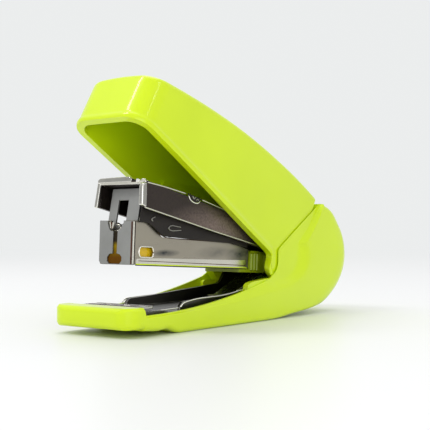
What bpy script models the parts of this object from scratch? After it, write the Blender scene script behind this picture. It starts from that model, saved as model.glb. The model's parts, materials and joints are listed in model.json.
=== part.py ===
"""Compact light-effort stapler for No. 10 staples, at rest with its handle up.

Lengths are millimetres and angles are degrees until the helpers put them in Blender's metres and
radians. X runs from the front to the back, Z is up, and Y = 0 is the plane of symmetry. The
origin is under the middle of the base, on the table. Each moving group has an empty on its hinge
axis, turned to its rest angle, and its pieces are drawn in that empty's own plane.
"""
import math

import bmesh
import bpy
from mathutils import Matrix, Vector

MM = 0.001
GAP = 0.3                      # air between two pieces that touch

# Base
LENGTH = 94.8
WALL = 1.2                     # moulded wall of the base
SHEET = 0.8                    # steel of the frame and the driver arm
PAD_LENGTH = 6.8
PAD_TOP = 6.3
PAD_BOTTOM = 1.7
PAD_CORNER = 3.8
WALL_LOW, WALL_HIGH = 4.5, 10.4  # side wall just behind the pad, and at the cheeks
HUMP_A, HUMP_B = 18.6, 14.1    # half-axes of the rear hump
HUMP_X, HUMP_Z = LENGTH - HUMP_A, 16.0
HUMP_CORNER = 4.8
HUMP_WALL = 1.5
ROOF_X = HUMP_X + 2.4          # front edge of the hump's roof
PIN_X, PIN_Z = HUMP_X + 1.8, HUMP_Z - 2.5      # common pin of the magazine and the driver arm
HANDLE_X, HANDLE_Z = PIN_X - 10.0, PIN_Z + 3.5   # the handle's own hinge
CHEEK_X = HANDLE_X - 10.0      # front of the cheeks that hold the handle
CHEEK_Z = HUMP_Z + 1.4
CHEEK_ROOT = 4.5               # length of the curve between side wall and cheek
LEDGE_Z = 3.6                  # inner floor that carries the steel frame
POCKET_DEPTH = 2.1             # how far the core pockets go under the frame
BLOCK_FRONT = CHEEK_X - 10.5   # guide blocks beside the frame
BLOCK_LENGTH = 5.5
BLOCK_TOP = 9.7

# Widths, from the staples' channel outwards
MAG_HALF = 5.2
ARM_SIDE_GAP = 0.4                             # air beside the arm's walls
ARM_HALF = MAG_HALF + 1.3 + SHEET              # the arm goes over the magazine
FRAME_HALF = ARM_HALF + ARM_SIDE_GAP + SHEET   # the frame's ears stand outside the arm
HANDLE_INNER_HALF = FRAME_HALF + 0.5           # the handle's lobes go outside the ears
HANDLE_REAR_HALF = HANDLE_INNER_HALF + WALL
BASE_HALF = HANDLE_REAR_HALF + GAP + WALL      # and the base's cheeks outside the lobes
FRAME_FRONT_HALF = BASE_HALF - WALL - 1.1

# Steel frame in the base
FRAME_FRONT = 6.2
FLOOR_Z = LEDGE_Z + GAP
ANVIL_RAISE = 0.5              # how far the frame steps up under the anvil
STEP_X = 12.9
FLANGE_X = STEP_X + 7.5
FLANGE_Z = 6.6
ANVIL_THICK = 0.6
ANVIL_HALF = FRAME_FRONT_HALF - 1.2
ANVIL_LENGTH = 6.0
GROOVE_X = 9.2                 # clinching grooves, below the staple exit
GROOVE_WIDE = 1.6
PIN_RADIUS = 1.25
STUB_RADIUS = 1.8
RIVET_RADIUS = 0.8
RIVET_HEAD = 0.6
EAR_RIM = 1.3                  # metal round the holes in the ears
EAR_RADIUS = STUB_RADIUS + GAP + EAR_RIM
LEAF_THICK = 0.5
LEAF_X = CHEEK_X - 14.0        # rivet of the lift spring

# Magazine, drawn about the common pin
MAG_FRONT = 9.0 - PIN_X
MAG_RISE = 3.437               # the front stands this much higher than the pin
MAGAZINE_TILT = math.degrees(math.asin(MAG_RISE / -MAG_FRONT))
MAG_BACK = -26.0
MAG_BOTTOM = -1.89
MAG_HEAD = 7.75
MAG_SIDE = 4.45
MAG_SHEET = 0.6
EXIT_GAP = 2.2                 # slot behind the front plate where a staple leaves
NOTCH_HALF = 2.2
SLIT_HALF = 0.55
WINDOW_X, WINDOW_Z = MAG_FRONT + 3.85, 0.9
WINDOW_LONG, WINDOW_HIGH = 4.9, 2.2
RAIL_FRONT = MAG_FRONT + 2.3
RAIL_BACK = MAG_BACK - 1.0
RAIL_HALF = 3.55
RAIL_TOP = 2.9
RAIL_SHEET = 0.6
ROD_Z = 1.1
ROD_RADIUS = 0.45
COIL_RADIUS = 1.1
COIL_WIRE = 0.18
COIL_TURNS = 14
PUSHER_FRONT = MAG_FRONT + 2.0
PUSHER_LENGTH = 11.0
PUSHER_HEAD = 1.4              # height of the pusher above the rail
CARRIAGE_LIP = 4.0             # how far the carriage reaches under the channel's rear
CARRIAGE_HALF = MAG_HALF + 0.2
CARRIAGE_SKIRT = 0.75
CARRIAGE_BLOCK = 9.0           # length of the block behind the channel
CARRIAGE_EAR = 1.5

# Driver arm, drawn about the common pin
ARM_FRONT = MAG_FRONT
ARM_RISE = 14.464
ARM_TILT = math.degrees(math.asin(ARM_RISE / -ARM_FRONT))
ARM_LEAN = 0.95                # the front edge leans forward by this much at its top
ARM_BOTTOM = -0.4
ARM_TOP = 5.3
BLADE_HALF = MAG_HALF - MAG_SHEET - GAP
BLADE_FRONT = MAG_FRONT + MAG_SHEET + 0.5
BLADE_THICK = 0.5
BLADE_TIP = -5.26
BLADE_WINDOW_HALF = 1.5
BLADE_WINDOW_TOP = 1.6
BLADE_WINDOW_BOTTOM = -3.9
STRIP_LENGTH = 25.9
RIVET_X = BLADE_FRONT + 19.9
RETURN_THICK = 0.3
RETURN_HALF = 2.2
FOLD_RADIUS = 1.1

# Handle, drawn about its own hinge
HANDLE_FRONT = -HANDLE_X - 2.0
HANDLE_RISE = 35.423
HANDLE_TILT = math.degrees(math.asin(HANDLE_RISE / -HANDLE_FRONT))
HANDLE_WALL = 1.8
HANDLE_HALF = BASE_HALF - 1.0
HANDLE_BOTTOM = -6.67
HANDLE_CORNER = 5.2
HANDLE_EDGE = 1.3              # radius of the long upper edges
HANDLE_CROWN = 1.0
HANDLE_HEAD = 4.0              # height of the upper edge at the front
HANDLE_CREST = 17.6            # and over the hinge
CREST_S = 0.9
CREST_POWER = 1.75
LOBE_HALF = HANDLE_REAR_HALF - 0.1
LOBE_FRONT = -10.04
LOBE_BOTTOM = -12.35
LOBE_RADIUS = 13.0
TONGUE_RADIUS = 14.7
TONGUE_THICK = 1.4
LEVER_FRONT = -38.0
LEVER_LOW = -5.0
LEVER_TOP = 6.2
LEVER_WEB = 1.2
PRESS_S, PRESS_N = -11.45, 2.55
PRESS_RADIUS = 1.3


# ---------------------------------------------------------------- scene and helpers

for old in list(bpy.data.objects):
    bpy.data.objects.remove(old, do_unlink=True)

parts = bpy.data.collections.new("stapler")
cutters = bpy.data.collections.new("cutters")
for group in (parts, cutters):
    bpy.context.scene.collection.children.link(group)


def material(name, colour, roughness, metallic):
    """A Principled material of one colour."""
    made = bpy.data.materials.new(name)
    made.use_nodes = True
    shader = made.node_tree.nodes["Principled BSDF"]
    shader.inputs["Base Color"].default_value = (*colour, 1.0)
    shader.inputs["Roughness"].default_value = roughness
    shader.inputs["Metallic"].default_value = metallic
    return made


LIME = material("lime_plastic", (0.62, 0.86, 0.03), 0.25, 0.0)
YELLOW = material("yellow_plastic", (0.72, 0.45, 0.02), 0.35, 0.0)
NICKEL = material("nickel_steel", (0.60, 0.59, 0.55), 0.25, 1.0)
DARK_NICKEL = material("satin_steel", (0.26, 0.25, 0.24), 0.40, 1.0)
SPRING_STEEL = material("spring_steel", (0.42, 0.42, 0.41), 0.35, 1.0)


def frame_empty(name, x, z, tilt):
    """An empty at a hinge, with its X axis leaning down towards the back by the tilt."""
    empty = bpy.data.objects.new(name, None)
    empty.location = ((x - LENGTH / 2) * MM, 0.0, z * MM)
    empty.rotation_euler = (0.0, math.radians(tilt), 0.0)
    cutters.objects.link(empty)
    return empty


def place(made, frame, paint):
    """Puts an object in its group's frame, as a part when it has a paint, else as a cutter."""
    made.parent = frame
    if paint is None:
        cutters.objects.link(made)
        made.hide_render = True
        made.display_type = "WIRE"
    else:
        parts.objects.link(made)
        made.data.materials.append(paint)
    return made


def prism(name, outline, low, high, frame, paint=None):
    """A flat outline in the XZ plane, extruded in Y from low to high."""
    return extruded(name, outline, low, high, Matrix.Rotation(math.pi / 2, 4, "X"), -1, frame, paint)


def slab(name, outline, low, high, frame, paint=None):
    """A flat outline in the XY plane, extruded in Z from low to high."""
    return extruded(name, outline, low, high, Matrix.Identity(4), 1, frame, paint)


def extruded(name, outline, low, high, turn, sign, frame, paint):
    """A filled 2D curve with thickness, made a closed mesh and turned into its plane."""
    curve = bpy.data.curves.new(name + "_outline", "CURVE")
    curve.dimensions = "2D"
    curve.fill_mode = "BOTH"
    curve.extrude = (high - low) / 2 * MM
    spline = curve.splines.new("POLY")
    spline.points.add(len(outline) - 1)
    for point, (u, v) in zip(spline.points, outline):
        point.co = (u * MM, v * MM, 0.0, 1.0)
    spline.use_cyclic_u = True
    shift = Matrix.Translation((0.0, 0.0, sign * (low + high) / 2 * MM))
    return place(curve_to_object(name, curve, turn @ shift), frame, paint)


def curve_to_object(name, curve, matrix):
    """The closed mesh of a curve, with its caps welded on, under a new object."""
    source = bpy.data.objects.new(name + "_curve", curve)
    bpy.context.scene.collection.objects.link(source)
    bpy.context.view_layer.update()
    evaluated = source.evaluated_get(bpy.context.evaluated_depsgraph_get())
    mesh = bpy.data.meshes.new_from_object(evaluated)
    bpy.data.objects.remove(source, do_unlink=True)
    welded = bmesh.new()
    welded.from_mesh(mesh)
    bmesh.ops.remove_doubles(welded, verts=welded.verts, dist=0.000001)
    bmesh.ops.transform(welded, matrix=matrix, verts=welded.verts)
    bmesh.ops.recalc_face_normals(welded, faces=welded.faces)
    welded.to_mesh(mesh)
    welded.free()
    mesh.name = name
    return bpy.data.objects.new(name, mesh)


def box(name, x, y, z, frame, paint=None):
    """A box between the given pairs of limits."""
    mesh = bpy.data.meshes.new(name)
    made = bmesh.new()
    bmesh.ops.create_cube(made, size=1.0)
    size = Vector([(pair[1] - pair[0]) * MM for pair in (x, y, z)])
    middle = Vector([(pair[1] + pair[0]) / 2 * MM for pair in (x, y, z)])
    stretch = Matrix.Translation(middle) @ Matrix.Diagonal((*size, 1.0))
    bmesh.ops.transform(made, matrix=stretch, verts=made.verts)
    made.to_mesh(mesh)
    made.free()
    return place(bpy.data.objects.new(name, mesh), frame, paint)


def cylinder(name, centre, radius, low, high, axis, frame, paint=None, sides=24):
    """A round bar along an axis between low and high; the centre gives its other two places."""
    mesh = bpy.data.meshes.new(name)
    made = bmesh.new()
    bmesh.ops.create_cone(made, cap_ends=True, segments=sides, radius1=radius * MM,
                          radius2=radius * MM, depth=(high - low) * MM)
    middle = (low + high) / 2 * MM
    if axis == "Y":
        turn = Matrix.Rotation(math.pi / 2, 4, "X")
        spot = Vector((centre[0] * MM, middle, centre[1] * MM))
    elif axis == "X":
        turn = Matrix.Rotation(math.pi / 2, 4, "Y")
        spot = Vector((middle, centre[0] * MM, centre[1] * MM))
    else:
        turn = Matrix.Identity(4)
        spot = Vector((centre[0] * MM, centre[1] * MM, middle))
    bmesh.ops.transform(made, matrix=Matrix.Translation(spot) @ turn, verts=made.verts)
    made.to_mesh(mesh)
    made.free()
    return place(bpy.data.objects.new(name, mesh), frame, paint)


def rivet(name, x, low, seat, head, frame):
    """A rivet up Z: a shank from low and, above its seat, a head of the given radius."""
    made = cylinder(name, (x, 0.0), RIVET_RADIUS, low, seat + RIVET_HEAD / 2, "Z", frame, NICKEL)
    cap = cylinder(name + "_head", (x, 0.0), head, seat, seat + RIVET_HEAD, "Z", frame)
    return boolean(made, cap, "UNION")


def boolean(target, tool, operation="DIFFERENCE"):
    """Cuts, joins or intersects the target with the tool."""
    modifier = target.modifiers.new(tool.name, "BOOLEAN")
    modifier.operation = operation
    modifier.object = tool
    modifier.solver = "EXACT"
    return target


def arc(cx, cz, radius_x, radius_z, start, end, steps):
    """Points on an ellipse from one angle to another."""
    turn = [math.radians(start + (end - start) * i / steps) for i in range(steps + 1)]
    return [(cx + radius_x * math.cos(t), cz + radius_z * math.sin(t)) for t in turn]


def rounded(corners, steps=4):
    """A closed outline whose corners (x, z, radius) are turned into arcs."""
    outline = []
    count = len(corners)
    for i, (x, z, radius) in enumerate(corners):
        here = Vector((x, z))
        if radius <= 0.0:
            outline.append((x, z))
            continue
        before = Vector(corners[i - 1][:2]) - here
        after = Vector(corners[(i + 1) % count][:2]) - here
        half = before.angle(after) / 2
        reach = radius / math.tan(half)
        inward = (before.normalized() + after.normalized()).normalized()
        middle = here + inward * (radius / math.sin(half))
        start = here + before.normalized() * reach - middle
        end = here + after.normalized() * reach - middle
        sweep = start.angle_signed(end)
        for k in range(steps + 1):
            turned = start.copy()
            turned.rotate(Matrix.Rotation(-sweep * k / steps, 2))
            outline.append(tuple(middle + turned))
    return outline


def strip(name, path, thickness, half_width, frame, paint):
    """A bent sheet: a path in the XZ plane thickened downwards and extruded across Y."""
    lower = []
    for i, (x, z) in enumerate(path):
        ahead = Vector(path[min(i + 1, len(path) - 1)]) - Vector(path[max(i - 1, 0)])
        normal = Vector((ahead.y, -ahead.x)).normalized()
        lower.append((x + normal.x * thickness, z + normal.y * thickness))
    return prism(name, path + lower[::-1], -half_width, half_width, frame, paint)


def smooth_path(knots, steps=6):
    """A Catmull-Rom curve through the knots."""
    ends = [knots[0]] + knots + [knots[-1]]
    path = []
    for p0, p1, p2, p3 in zip(ends, ends[1:], ends[2:], ends[3:]):
        for k in range(steps):
            t = k / steps
            path.append(tuple(
                0.5 * (2 * b + (c - a) * t + (2 * a - 5 * b + 4 * c - d) * t * t
                       + (3 * b - a - 3 * c + d) * t ** 3)
                for a, b, c, d in zip(p0, p1, p2, p3)))
    return path + [knots[-1]]


BASE = frame_empty("base_frame_origin", 0.0, 0.0, 0.0)
MAGAZINE = frame_empty("magazine_hinge", PIN_X, PIN_Z, MAGAZINE_TILT)
ARM = frame_empty("arm_hinge", PIN_X, PIN_Z, ARM_TILT)
HANDLE = frame_empty("handle_hinge", HANDLE_X, HANDLE_Z, HANDLE_TILT)


# ---------------------------------------------------------------- base

def wall_top(x):
    """Height of the base's side wall, which rises with the square of the distance from the pad."""
    run = CHEEK_X - CHEEK_ROOT - PAD_LENGTH
    return WALL_LOW + (WALL_HIGH - WALL_LOW) * ((x - PAD_LENGTH) / run) ** 2


def base_profile():
    """Side view of the base: pad, side wall, cheek and hump."""
    last = CHEEK_X - CHEEK_ROOT
    first = PAD_LENGTH + 1.0
    steps = 14
    front = rounded([(0.0, PAD_BOTTOM, 1.2), (0.0, PAD_TOP, 1.2), (PAD_LENGTH, PAD_TOP, 0.4),
                     (PAD_LENGTH, WALL_LOW, 0.0), (last, wall_top(last), 0.0)])[:-1]
    wall = [(x, wall_top(x)) for x in (first + (last - first) * i / steps for i in range(steps + 1))]
    cheek = rounded([wall[-1] + (0.0,), (CHEEK_X, WALL_HIGH + 2.5, 3.0), (CHEEK_X, CHEEK_Z, 1.5),
                     (ROOF_X, HUMP_Z + HUMP_B - 0.2, 0.0)])[1:-1]
    start = math.degrees(math.acos((ROOF_X - HUMP_X) / HUMP_A))
    hump = arc(HUMP_X, HUMP_Z, HUMP_A, HUMP_B, start, -81.0, 26)
    foot_back = hump[-1][0] - hump[-1][1] / math.tan(math.radians(6.8))
    under = rounded([hump[-1] + (0.0,), (foot_back, 0.0, 12.0), (FLANGE_X - 0.9, 0.0, 10.0),
                     (STEP_X - 1.4, PAD_BOTTOM - 0.1, 8.0), (PAD_CORNER, PAD_BOTTOM, 0.0)])[1:-1]
    return front + wall + cheek + hump + under


def base_cavity():
    """The hollow of the base: open above, with a flat floor and an elliptic back."""
    inner = BASE_HALF - WALL
    front, back = PAD_LENGTH + 0.7, LENGTH - HUMP_WALL
    inner_a, inner_b = HUMP_A - HUMP_WALL, HUMP_B - HUMP_WALL
    roof = ROOF_X - 0.6
    high = HUMP_Z + HUMP_B + 10.0
    ledge_back = math.degrees(math.asin((LEDGE_Z - HUMP_Z) / inner_b))
    roof_angle = math.degrees(math.acos((roof - HUMP_X) / inner_a))
    side = [(front, LEDGE_Z)] + arc(HUMP_X, HUMP_Z, inner_a, inner_b, ledge_back, roof_angle, 22)
    hollow = prism("base_cavity", side + [(roof, high), (front, high)], -BASE_HALF, BASE_HALF, BASE)
    corner = HUMP_CORNER - HUMP_WALL
    plan = rounded([(0.0, -inner, 0.0), (back, -inner, corner), (back, inner, corner), (0.0, inner, 0.0)],
                   steps=7)
    return boolean(hollow, slab("cavity_plan", plan, -3.0, high + 5.0, BASE), "INTERSECT")


def base_shell():
    """Lime moulding: a rounded pad, a shallow tray for the frame and a hollow hump with cheeks."""
    shell = prism("base_shell", base_profile(), -BASE_HALF, BASE_HALF, BASE, LIME)
    plan = rounded([(0.0, -BASE_HALF, PAD_CORNER), (LENGTH, -BASE_HALF, HUMP_CORNER),
                    (LENGTH, BASE_HALF, HUMP_CORNER), (0.0, BASE_HALF, PAD_CORNER)], steps=7)
    boolean(shell, slab("base_plan", plan, -2.0, HUMP_Z + HUMP_B + 5.0, BASE), "INTERSECT")
    boolean(shell, base_cavity())
    half = FRAME_FRONT_HALF + GAP
    boolean(shell, box("anvil_recess", (FRAME_FRONT - GAP, PAD_LENGTH + 1.2), (-half, half),
                       (FLOOR_Z + ANVIL_RAISE - GAP, PAD_TOP + 1.0), BASE))
    rib = 1.2
    third = (FRAME_FRONT_HALF - rib) / 3
    for i in (-1, 0, 1):
        middle = 2 * i * (third + rib / 2)
        boolean(shell, box(f"under_pocket_{i}", (FLANGE_X, HANDLE_X - 8.0), (middle - third, middle + third),
                           (LEDGE_Z - POCKET_DEPTH, LEDGE_Z + 0.5), BASE))
    inner = BASE_HALF - WALL
    block_back = BLOCK_FRONT + BLOCK_LENGTH
    root = LEDGE_Z - 0.5
    block = rounded([(BLOCK_FRONT, root, 0.0), (BLOCK_FRONT, BLOCK_TOP - 0.6, 1.4),
                     (block_back, BLOCK_TOP, 0.6), (block_back, root, 0.0)])
    for side in (-1, 1):
        low, high = sorted((side * (FRAME_HALF + 0.7), side * (inner + WALL / 2)))
        boolean(shell, prism(f"guide_block_{side}", block, low, high, BASE), "UNION")
    return shell


def flange_profile():
    """Side view of the frame's flange with its two hinge ears."""
    root = FLOOR_Z + SHEET / 4
    front = rounded([(FLANGE_X, root, 0.0), (FLANGE_X, FLANGE_Z - 0.2, 1.8),
                     (FLANGE_X + 7.5, FLANGE_Z + 0.1, 3.0), (CHEEK_X - 1.0, FLANGE_Z + 1.9, 3.0),
                     (HANDLE_X - 3.1, HANDLE_Z - 1.5, 0.0)])
    handle_ear = arc(HANDLE_X, HANDLE_Z, EAR_RADIUS, EAR_RADIUS, 155.0, 70.0, 6)
    pin_ear = arc(PIN_X, PIN_Z, EAR_RADIUS, EAR_RADIUS, 65.0, -110.0, 12)
    return front[:-1] + handle_ear + pin_ear + [(HANDLE_X - 4.0, root + 1.3), (HANDLE_X - 7.4, root)]


def base_frame():
    """Pressed steel frame: anvil step, floor, two flanges and their ears."""
    raised = FLOOR_Z + ANVIL_RAISE
    step = smooth_path([(STEP_X, raised), (STEP_X + 1.3, (raised + FLOOR_Z) / 2), (STEP_X + 2.6, FLOOR_Z)],
                       3)
    floor = [(FRAME_FRONT, raised)] + step + [(HANDLE_X - 7.0, FLOOR_Z)]
    top = [(x, z + SHEET) for x, z in floor][::-1]
    frame = prism("base_frame", floor + top, -FRAME_FRONT_HALF, FRAME_FRONT_HALF, BASE, DARK_NICKEL)
    for side in (-1, 1):
        low, high = sorted((side * (FRAME_HALF - SHEET / 2), side * (FRAME_FRONT_HALF + 1)))
        boolean(frame, box(f"frame_waist_{side}", (FLANGE_X - 0.4, HANDLE_X), (low, high),
                           (0.0, FLOOR_Z + SHEET + 1.0), BASE))
        low, high = sorted((side * FRAME_HALF, side * (FRAME_HALF - SHEET)))
        boolean(frame, prism(f"flange_{side}", flange_profile(), low, high, BASE), "UNION")
    holes = (("pin", PIN_X, PIN_Z, PIN_RADIUS), ("stub", HANDLE_X, HANDLE_Z, STUB_RADIUS))
    for label, x, z, radius in holes:
        boolean(frame, cylinder(f"frame_{label}_hole", (x, z), radius + GAP, -BASE_HALF, BASE_HALF, "Y",
                                BASE))
    return boolean(frame, rivet_hole("frame_rivet_hole", LEAF_X, 0.0, BASE))


def rivet_hole(name, x, low, frame):
    """A tool that clears a rivet's shank."""
    return cylinder(name, (x, 0.0), RIVET_RADIUS + GAP, low, low + 12.0, "Z", frame)


def anvil_plate():
    """Clinching plate on the frame's step, with two grooves that turn the staple's legs in."""
    low = FLOOR_Z + ANVIL_RAISE + SHEET + GAP
    high = low + ANVIL_THICK
    back = FRAME_FRONT + ANVIL_LENGTH
    half = ANVIL_HALF
    outline = rounded([(FRAME_FRONT, -half, 0.8), (back, -half, 0.8), (back, half, 0.8),
                       (FRAME_FRONT, half, 0.8)])
    plate = slab("anvil_plate", outline, low, high, BASE, NICKEL)
    for side in (-1, 1):
        near, far = sorted((side * 0.5, side * (BLADE_HALF + 0.6)))
        boolean(plate, box(f"clinch_groove_{side}", (GROOVE_X, GROOVE_X + GROOVE_WIDE), (near, far),
                           (high - ANVIL_THICK / 2, high + 1.0), BASE))
    return plate


def lift_spring():
    """Leaf spring that holds the magazine up off the anvil."""
    top = FLOOR_Z + SHEET + GAP + LEAF_THICK
    under = PIN_Z + MAG_BOTTOM - CARRIAGE_SKIRT
    rise = smooth_path([(LEAF_X + 2.2, top), (LEAF_X + 5.4, top + 1.1), (LEAF_X + 12.1, top + 3.9),
                        (CHEEK_X + 2.7, under + 0.2), (CHEEK_X + 5.8, under + 0.02)])
    leaf = strip("lift_spring", [(LEAF_X - 4.0, top)] + rise, LEAF_THICK, 3.0, BASE, SPRING_STEEL)
    return boolean(leaf, rivet_hole("leaf_rivet_hole", LEAF_X, 0.0, BASE))


def lift_rivet():
    """Rivet that holds the leaf to the frame's floor."""
    seat = FLOOR_Z + SHEET + GAP + LEAF_THICK + GAP
    return rivet("lift_rivet", LEAF_X, FLOOR_Z, seat, 1.5, BASE)


def pins():
    """The common pin, and the two stubs on which the handle turns."""
    reach = HANDLE_INNER_HALF - GAP
    cylinder("main_pin", (PIN_X, PIN_Z), PIN_RADIUS, -reach, reach, "Y", BASE, NICKEL)
    for side, label in ((-1, "near"), (1, "far")):
        low, high = sorted((side * (FRAME_HALF - SHEET), side * (BASE_HALF - WALL - GAP)))
        cylinder(f"handle_stub_{label}", (HANDLE_X, HANDLE_Z), STUB_RADIUS, low, high, "Y", BASE, NICKEL)


# ---------------------------------------------------------------- magazine

def magazine_profile():
    """Side view of the magazine channel, tall at its head and low behind it."""
    head = MAG_FRONT + 4.0
    return rounded([(MAG_FRONT, MAG_BOTTOM, 0.0), (MAG_FRONT, MAG_HEAD, 0.0), (head, MAG_HEAD - 0.2, 1.2),
                    (head + 2.8, MAG_HEAD - 1.4, 1.5), (head + 4.8, MAG_SIDE, 1.2),
                    (MAG_BACK - 8.0, MAG_SIDE, 2.0), (MAG_BACK, 2.8, 0.0), (MAG_BACK, MAG_BOTTOM, 0.0)])


def magazine_channel():
    """Folded channel with the staple exit, the slotted front plate and an oblong side window."""
    channel = prism("magazine_channel", magazine_profile(), -MAG_HALF, MAG_HALF, MAGAZINE, NICKEL)
    inside = (MAG_SHEET - MAG_HALF, MAG_HALF - MAG_SHEET)
    face = MAG_FRONT + MAG_SHEET
    through = (MAG_FRONT - 1.0, face + 0.2)
    high = MAG_HEAD + 1.0
    cuts = {
        "channel_hollow": ((face, MAG_BACK + 6.0), inside, (MAG_BOTTOM + MAG_SHEET, high)),
        "staple_exit": ((face, face + EXIT_GAP), inside, (MAG_BOTTOM - 1.0, 0.0)),
        "plate_notch": (through, (-NOTCH_HALF, NOTCH_HALF), (MAG_HEAD - 2.2, high)),
        "plate_slit": (through, (-SLIT_HALF, SLIT_HALF), (-0.2, MAG_HEAD - 1.5)),
        "plate_mouth": (through, (-NOTCH_HALF, NOTCH_HALF), (MAG_BOTTOM - 1.0, 0.0)),
    }
    for name, limits in cuts.items():
        boolean(channel, box(name, *limits, MAGAZINE))
    front, back = WINDOW_X - WINDOW_LONG / 2, WINDOW_X + WINDOW_LONG / 2
    low, high = WINDOW_Z - WINDOW_HIGH / 2, WINDOW_Z + WINDOW_HIGH / 2
    radius = WINDOW_HIGH / 2 - 0.05
    window = rounded([(x, z, radius) for x, z in ((front, low), (front, high), (back, high), (back, low))])
    return boolean(channel, prism("side_window", window, -MAG_HALF - 1.0, MAG_HALF + 1.0, MAGAZINE))


def staple_rail():
    """Upright channel that the staples straddle; its closed back end holds the rod."""
    low = MAG_BOTTOM + MAG_SHEET + GAP
    rail = box("staple_rail", (RAIL_FRONT, RAIL_BACK), (-RAIL_HALF, RAIL_HALF), (low, RAIL_TOP), MAGAZINE,
               NICKEL)
    inside = RAIL_HALF - RAIL_SHEET
    return boolean(rail, box("rail_hollow", (RAIL_FRONT - 1.0, RAIL_BACK - RAIL_SHEET), (-inside, inside),
                             (low + RAIL_SHEET, RAIL_TOP + 1.0), MAGAZINE))


def pusher():
    """Yellow follower: a head over the rail, thin cheeks beside it and a guide inside it."""
    front, back = PUSHER_FRONT, PUSHER_FRONT + PUSHER_LENGTH
    through = (front - 1.0, back + 1.0)
    outer = MAG_HALF - MAG_SHEET - GAP
    inner = RAIL_HALF - RAIL_SHEET - GAP
    low = MAG_BOTTOM + MAG_SHEET + GAP
    body = box("pusher", (front, back), (-outer, outer), (low, RAIL_TOP + PUSHER_HEAD), MAGAZINE, YELLOW)
    for side in (-1, 1):
        near, far = sorted((side * inner, side * (RAIL_HALF + GAP)))
        boolean(body, box(f"pusher_groove_{side}", through, (near, far), (low - 1.0, RAIL_TOP + GAP),
                          MAGAZINE))
    guide_low = low + RAIL_SHEET + GAP
    boolean(body, box("pusher_underside", through, (-inner - 0.1, inner + 0.1), (low - 1.0, guide_low),
                      MAGAZINE))
    return boolean(body, cylinder("pusher_bore", (0.0, ROD_Z), ROD_RADIUS + GAP, *through, "X", MAGAZINE))


def pusher_rod():
    """Wire rod through the pusher, between its front and the closed end of the rail."""
    end = RAIL_BACK - RAIL_SHEET - GAP
    return cylinder("pusher_rod", (0.0, ROD_Z), ROD_RADIUS, PUSHER_FRONT + 2.0, end, "X", MAGAZINE,
                    SPRING_STEEL, sides=12)


def pusher_spring():
    """Coil on the rod that presses the pusher forward."""
    start = PUSHER_FRONT + PUSHER_LENGTH + GAP + COIL_WIRE
    length = RAIL_BACK - RAIL_SHEET - 2 * GAP - start
    curve = bpy.data.curves.new("pusher_coil", "CURVE")
    curve.dimensions = "3D"
    curve.bevel_depth = COIL_WIRE * MM
    curve.bevel_resolution = 1
    curve.use_fill_caps = True
    per_turn = 10
    count = COIL_TURNS * per_turn
    spline = curve.splines.new("POLY")
    spline.points.add(count)
    for i, point in enumerate(spline.points):
        turn = 2 * math.pi * i / per_turn
        y, z = COIL_RADIUS * math.cos(turn), ROD_Z + COIL_RADIUS * math.sin(turn)
        point.co = ((start + length * i / count) * MM, y * MM, z * MM, 1.0)
    return place(curve_to_object("pusher_spring", curve, Matrix.Identity(4)), MAGAZINE, SPRING_STEEL)


def magazine_carriage():
    """Lime carriage behind the magazine: a lip under it, a block and two ears on the common pin."""
    high = MAG_BOTTOM - GAP
    low = high - CARRIAGE_SKIRT
    front = MAG_BACK + GAP
    back = front + CARRIAGE_BLOCK
    half = CARRIAGE_HALF
    body = box("magazine_carriage", (MAG_BACK - CARRIAGE_LIP, back), (-half, half), (low, high), MAGAZINE,
               LIME)
    block = rounded([(front, low, 0.0), (front, 2.6, 0.9), (back, 2.4, 0.9), (back, low, 0.0)])
    boolean(body, prism("carriage_block", block, -half, half, MAGAZINE), "UNION")
    eye = PIN_RADIUS + GAP + EAR_RIM + 0.25
    around = [(x, z, 0.0) for x, z in arc(0.0, 0.0, eye, eye, 90.0, -90.0, 10)]
    ear = rounded([(front + 6.2, low, 0.5), (front + 6.2, 2.0, 1.0)] + around)
    ear_half = ARM_HALF - SHEET - ARM_SIDE_GAP
    for side in (-1, 1):
        near, far = sorted((side * (ear_half - CARRIAGE_EAR), side * ear_half))
        boolean(body, prism(f"carriage_ear_{side}", ear, near, far, MAGAZINE), "UNION")
    bore = cylinder("carriage_bore", (0.0, 0.0), PIN_RADIUS + GAP, -BASE_HALF, BASE_HALF, "Y", MAGAZINE)
    return boolean(body, bore)


# ---------------------------------------------------------------- driver arm

def driver_arm():
    """Inverted channel over the magazine, hinged on the common pin."""
    eye = PIN_RADIUS + GAP + EAR_RIM + 0.35
    outline = rounded([(ARM_FRONT, ARM_BOTTOM, 0.0), (ARM_FRONT - ARM_LEAN, ARM_TOP, 0.0),
                       (-7.0, ARM_TOP, 3.0), (eye * 0.75, eye * 0.69, 0.0)])[:-1]
    outline += arc(0.0, 0.0, eye, eye, 45.0, -120.0, 10) + [(-6.0, ARM_BOTTOM)]
    arm = prism("driver_arm", outline, -ARM_HALF, ARM_HALF, ARM, DARK_NICKEL)
    inside = (SHEET - ARM_HALF, ARM_HALF - SHEET)
    front, back = ARM_FRONT - ARM_LEAN - 5.0, 12.0
    boolean(arm, box("arm_hollow", (front, back), inside, (-12.0, ARM_TOP - SHEET), ARM))
    boolean(arm, box("arm_back_opening", (-9.0, back), inside, (0.0, 12.0), ARM))
    boolean(arm, cylinder("arm_bore", (0.0, 0.0), PIN_RADIUS + GAP, -BASE_HALF, BASE_HALF, "Y", ARM))
    return boolean(arm, rivet_hole("arm_rivet_hole", RIVET_X, 0.0, ARM))


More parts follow.
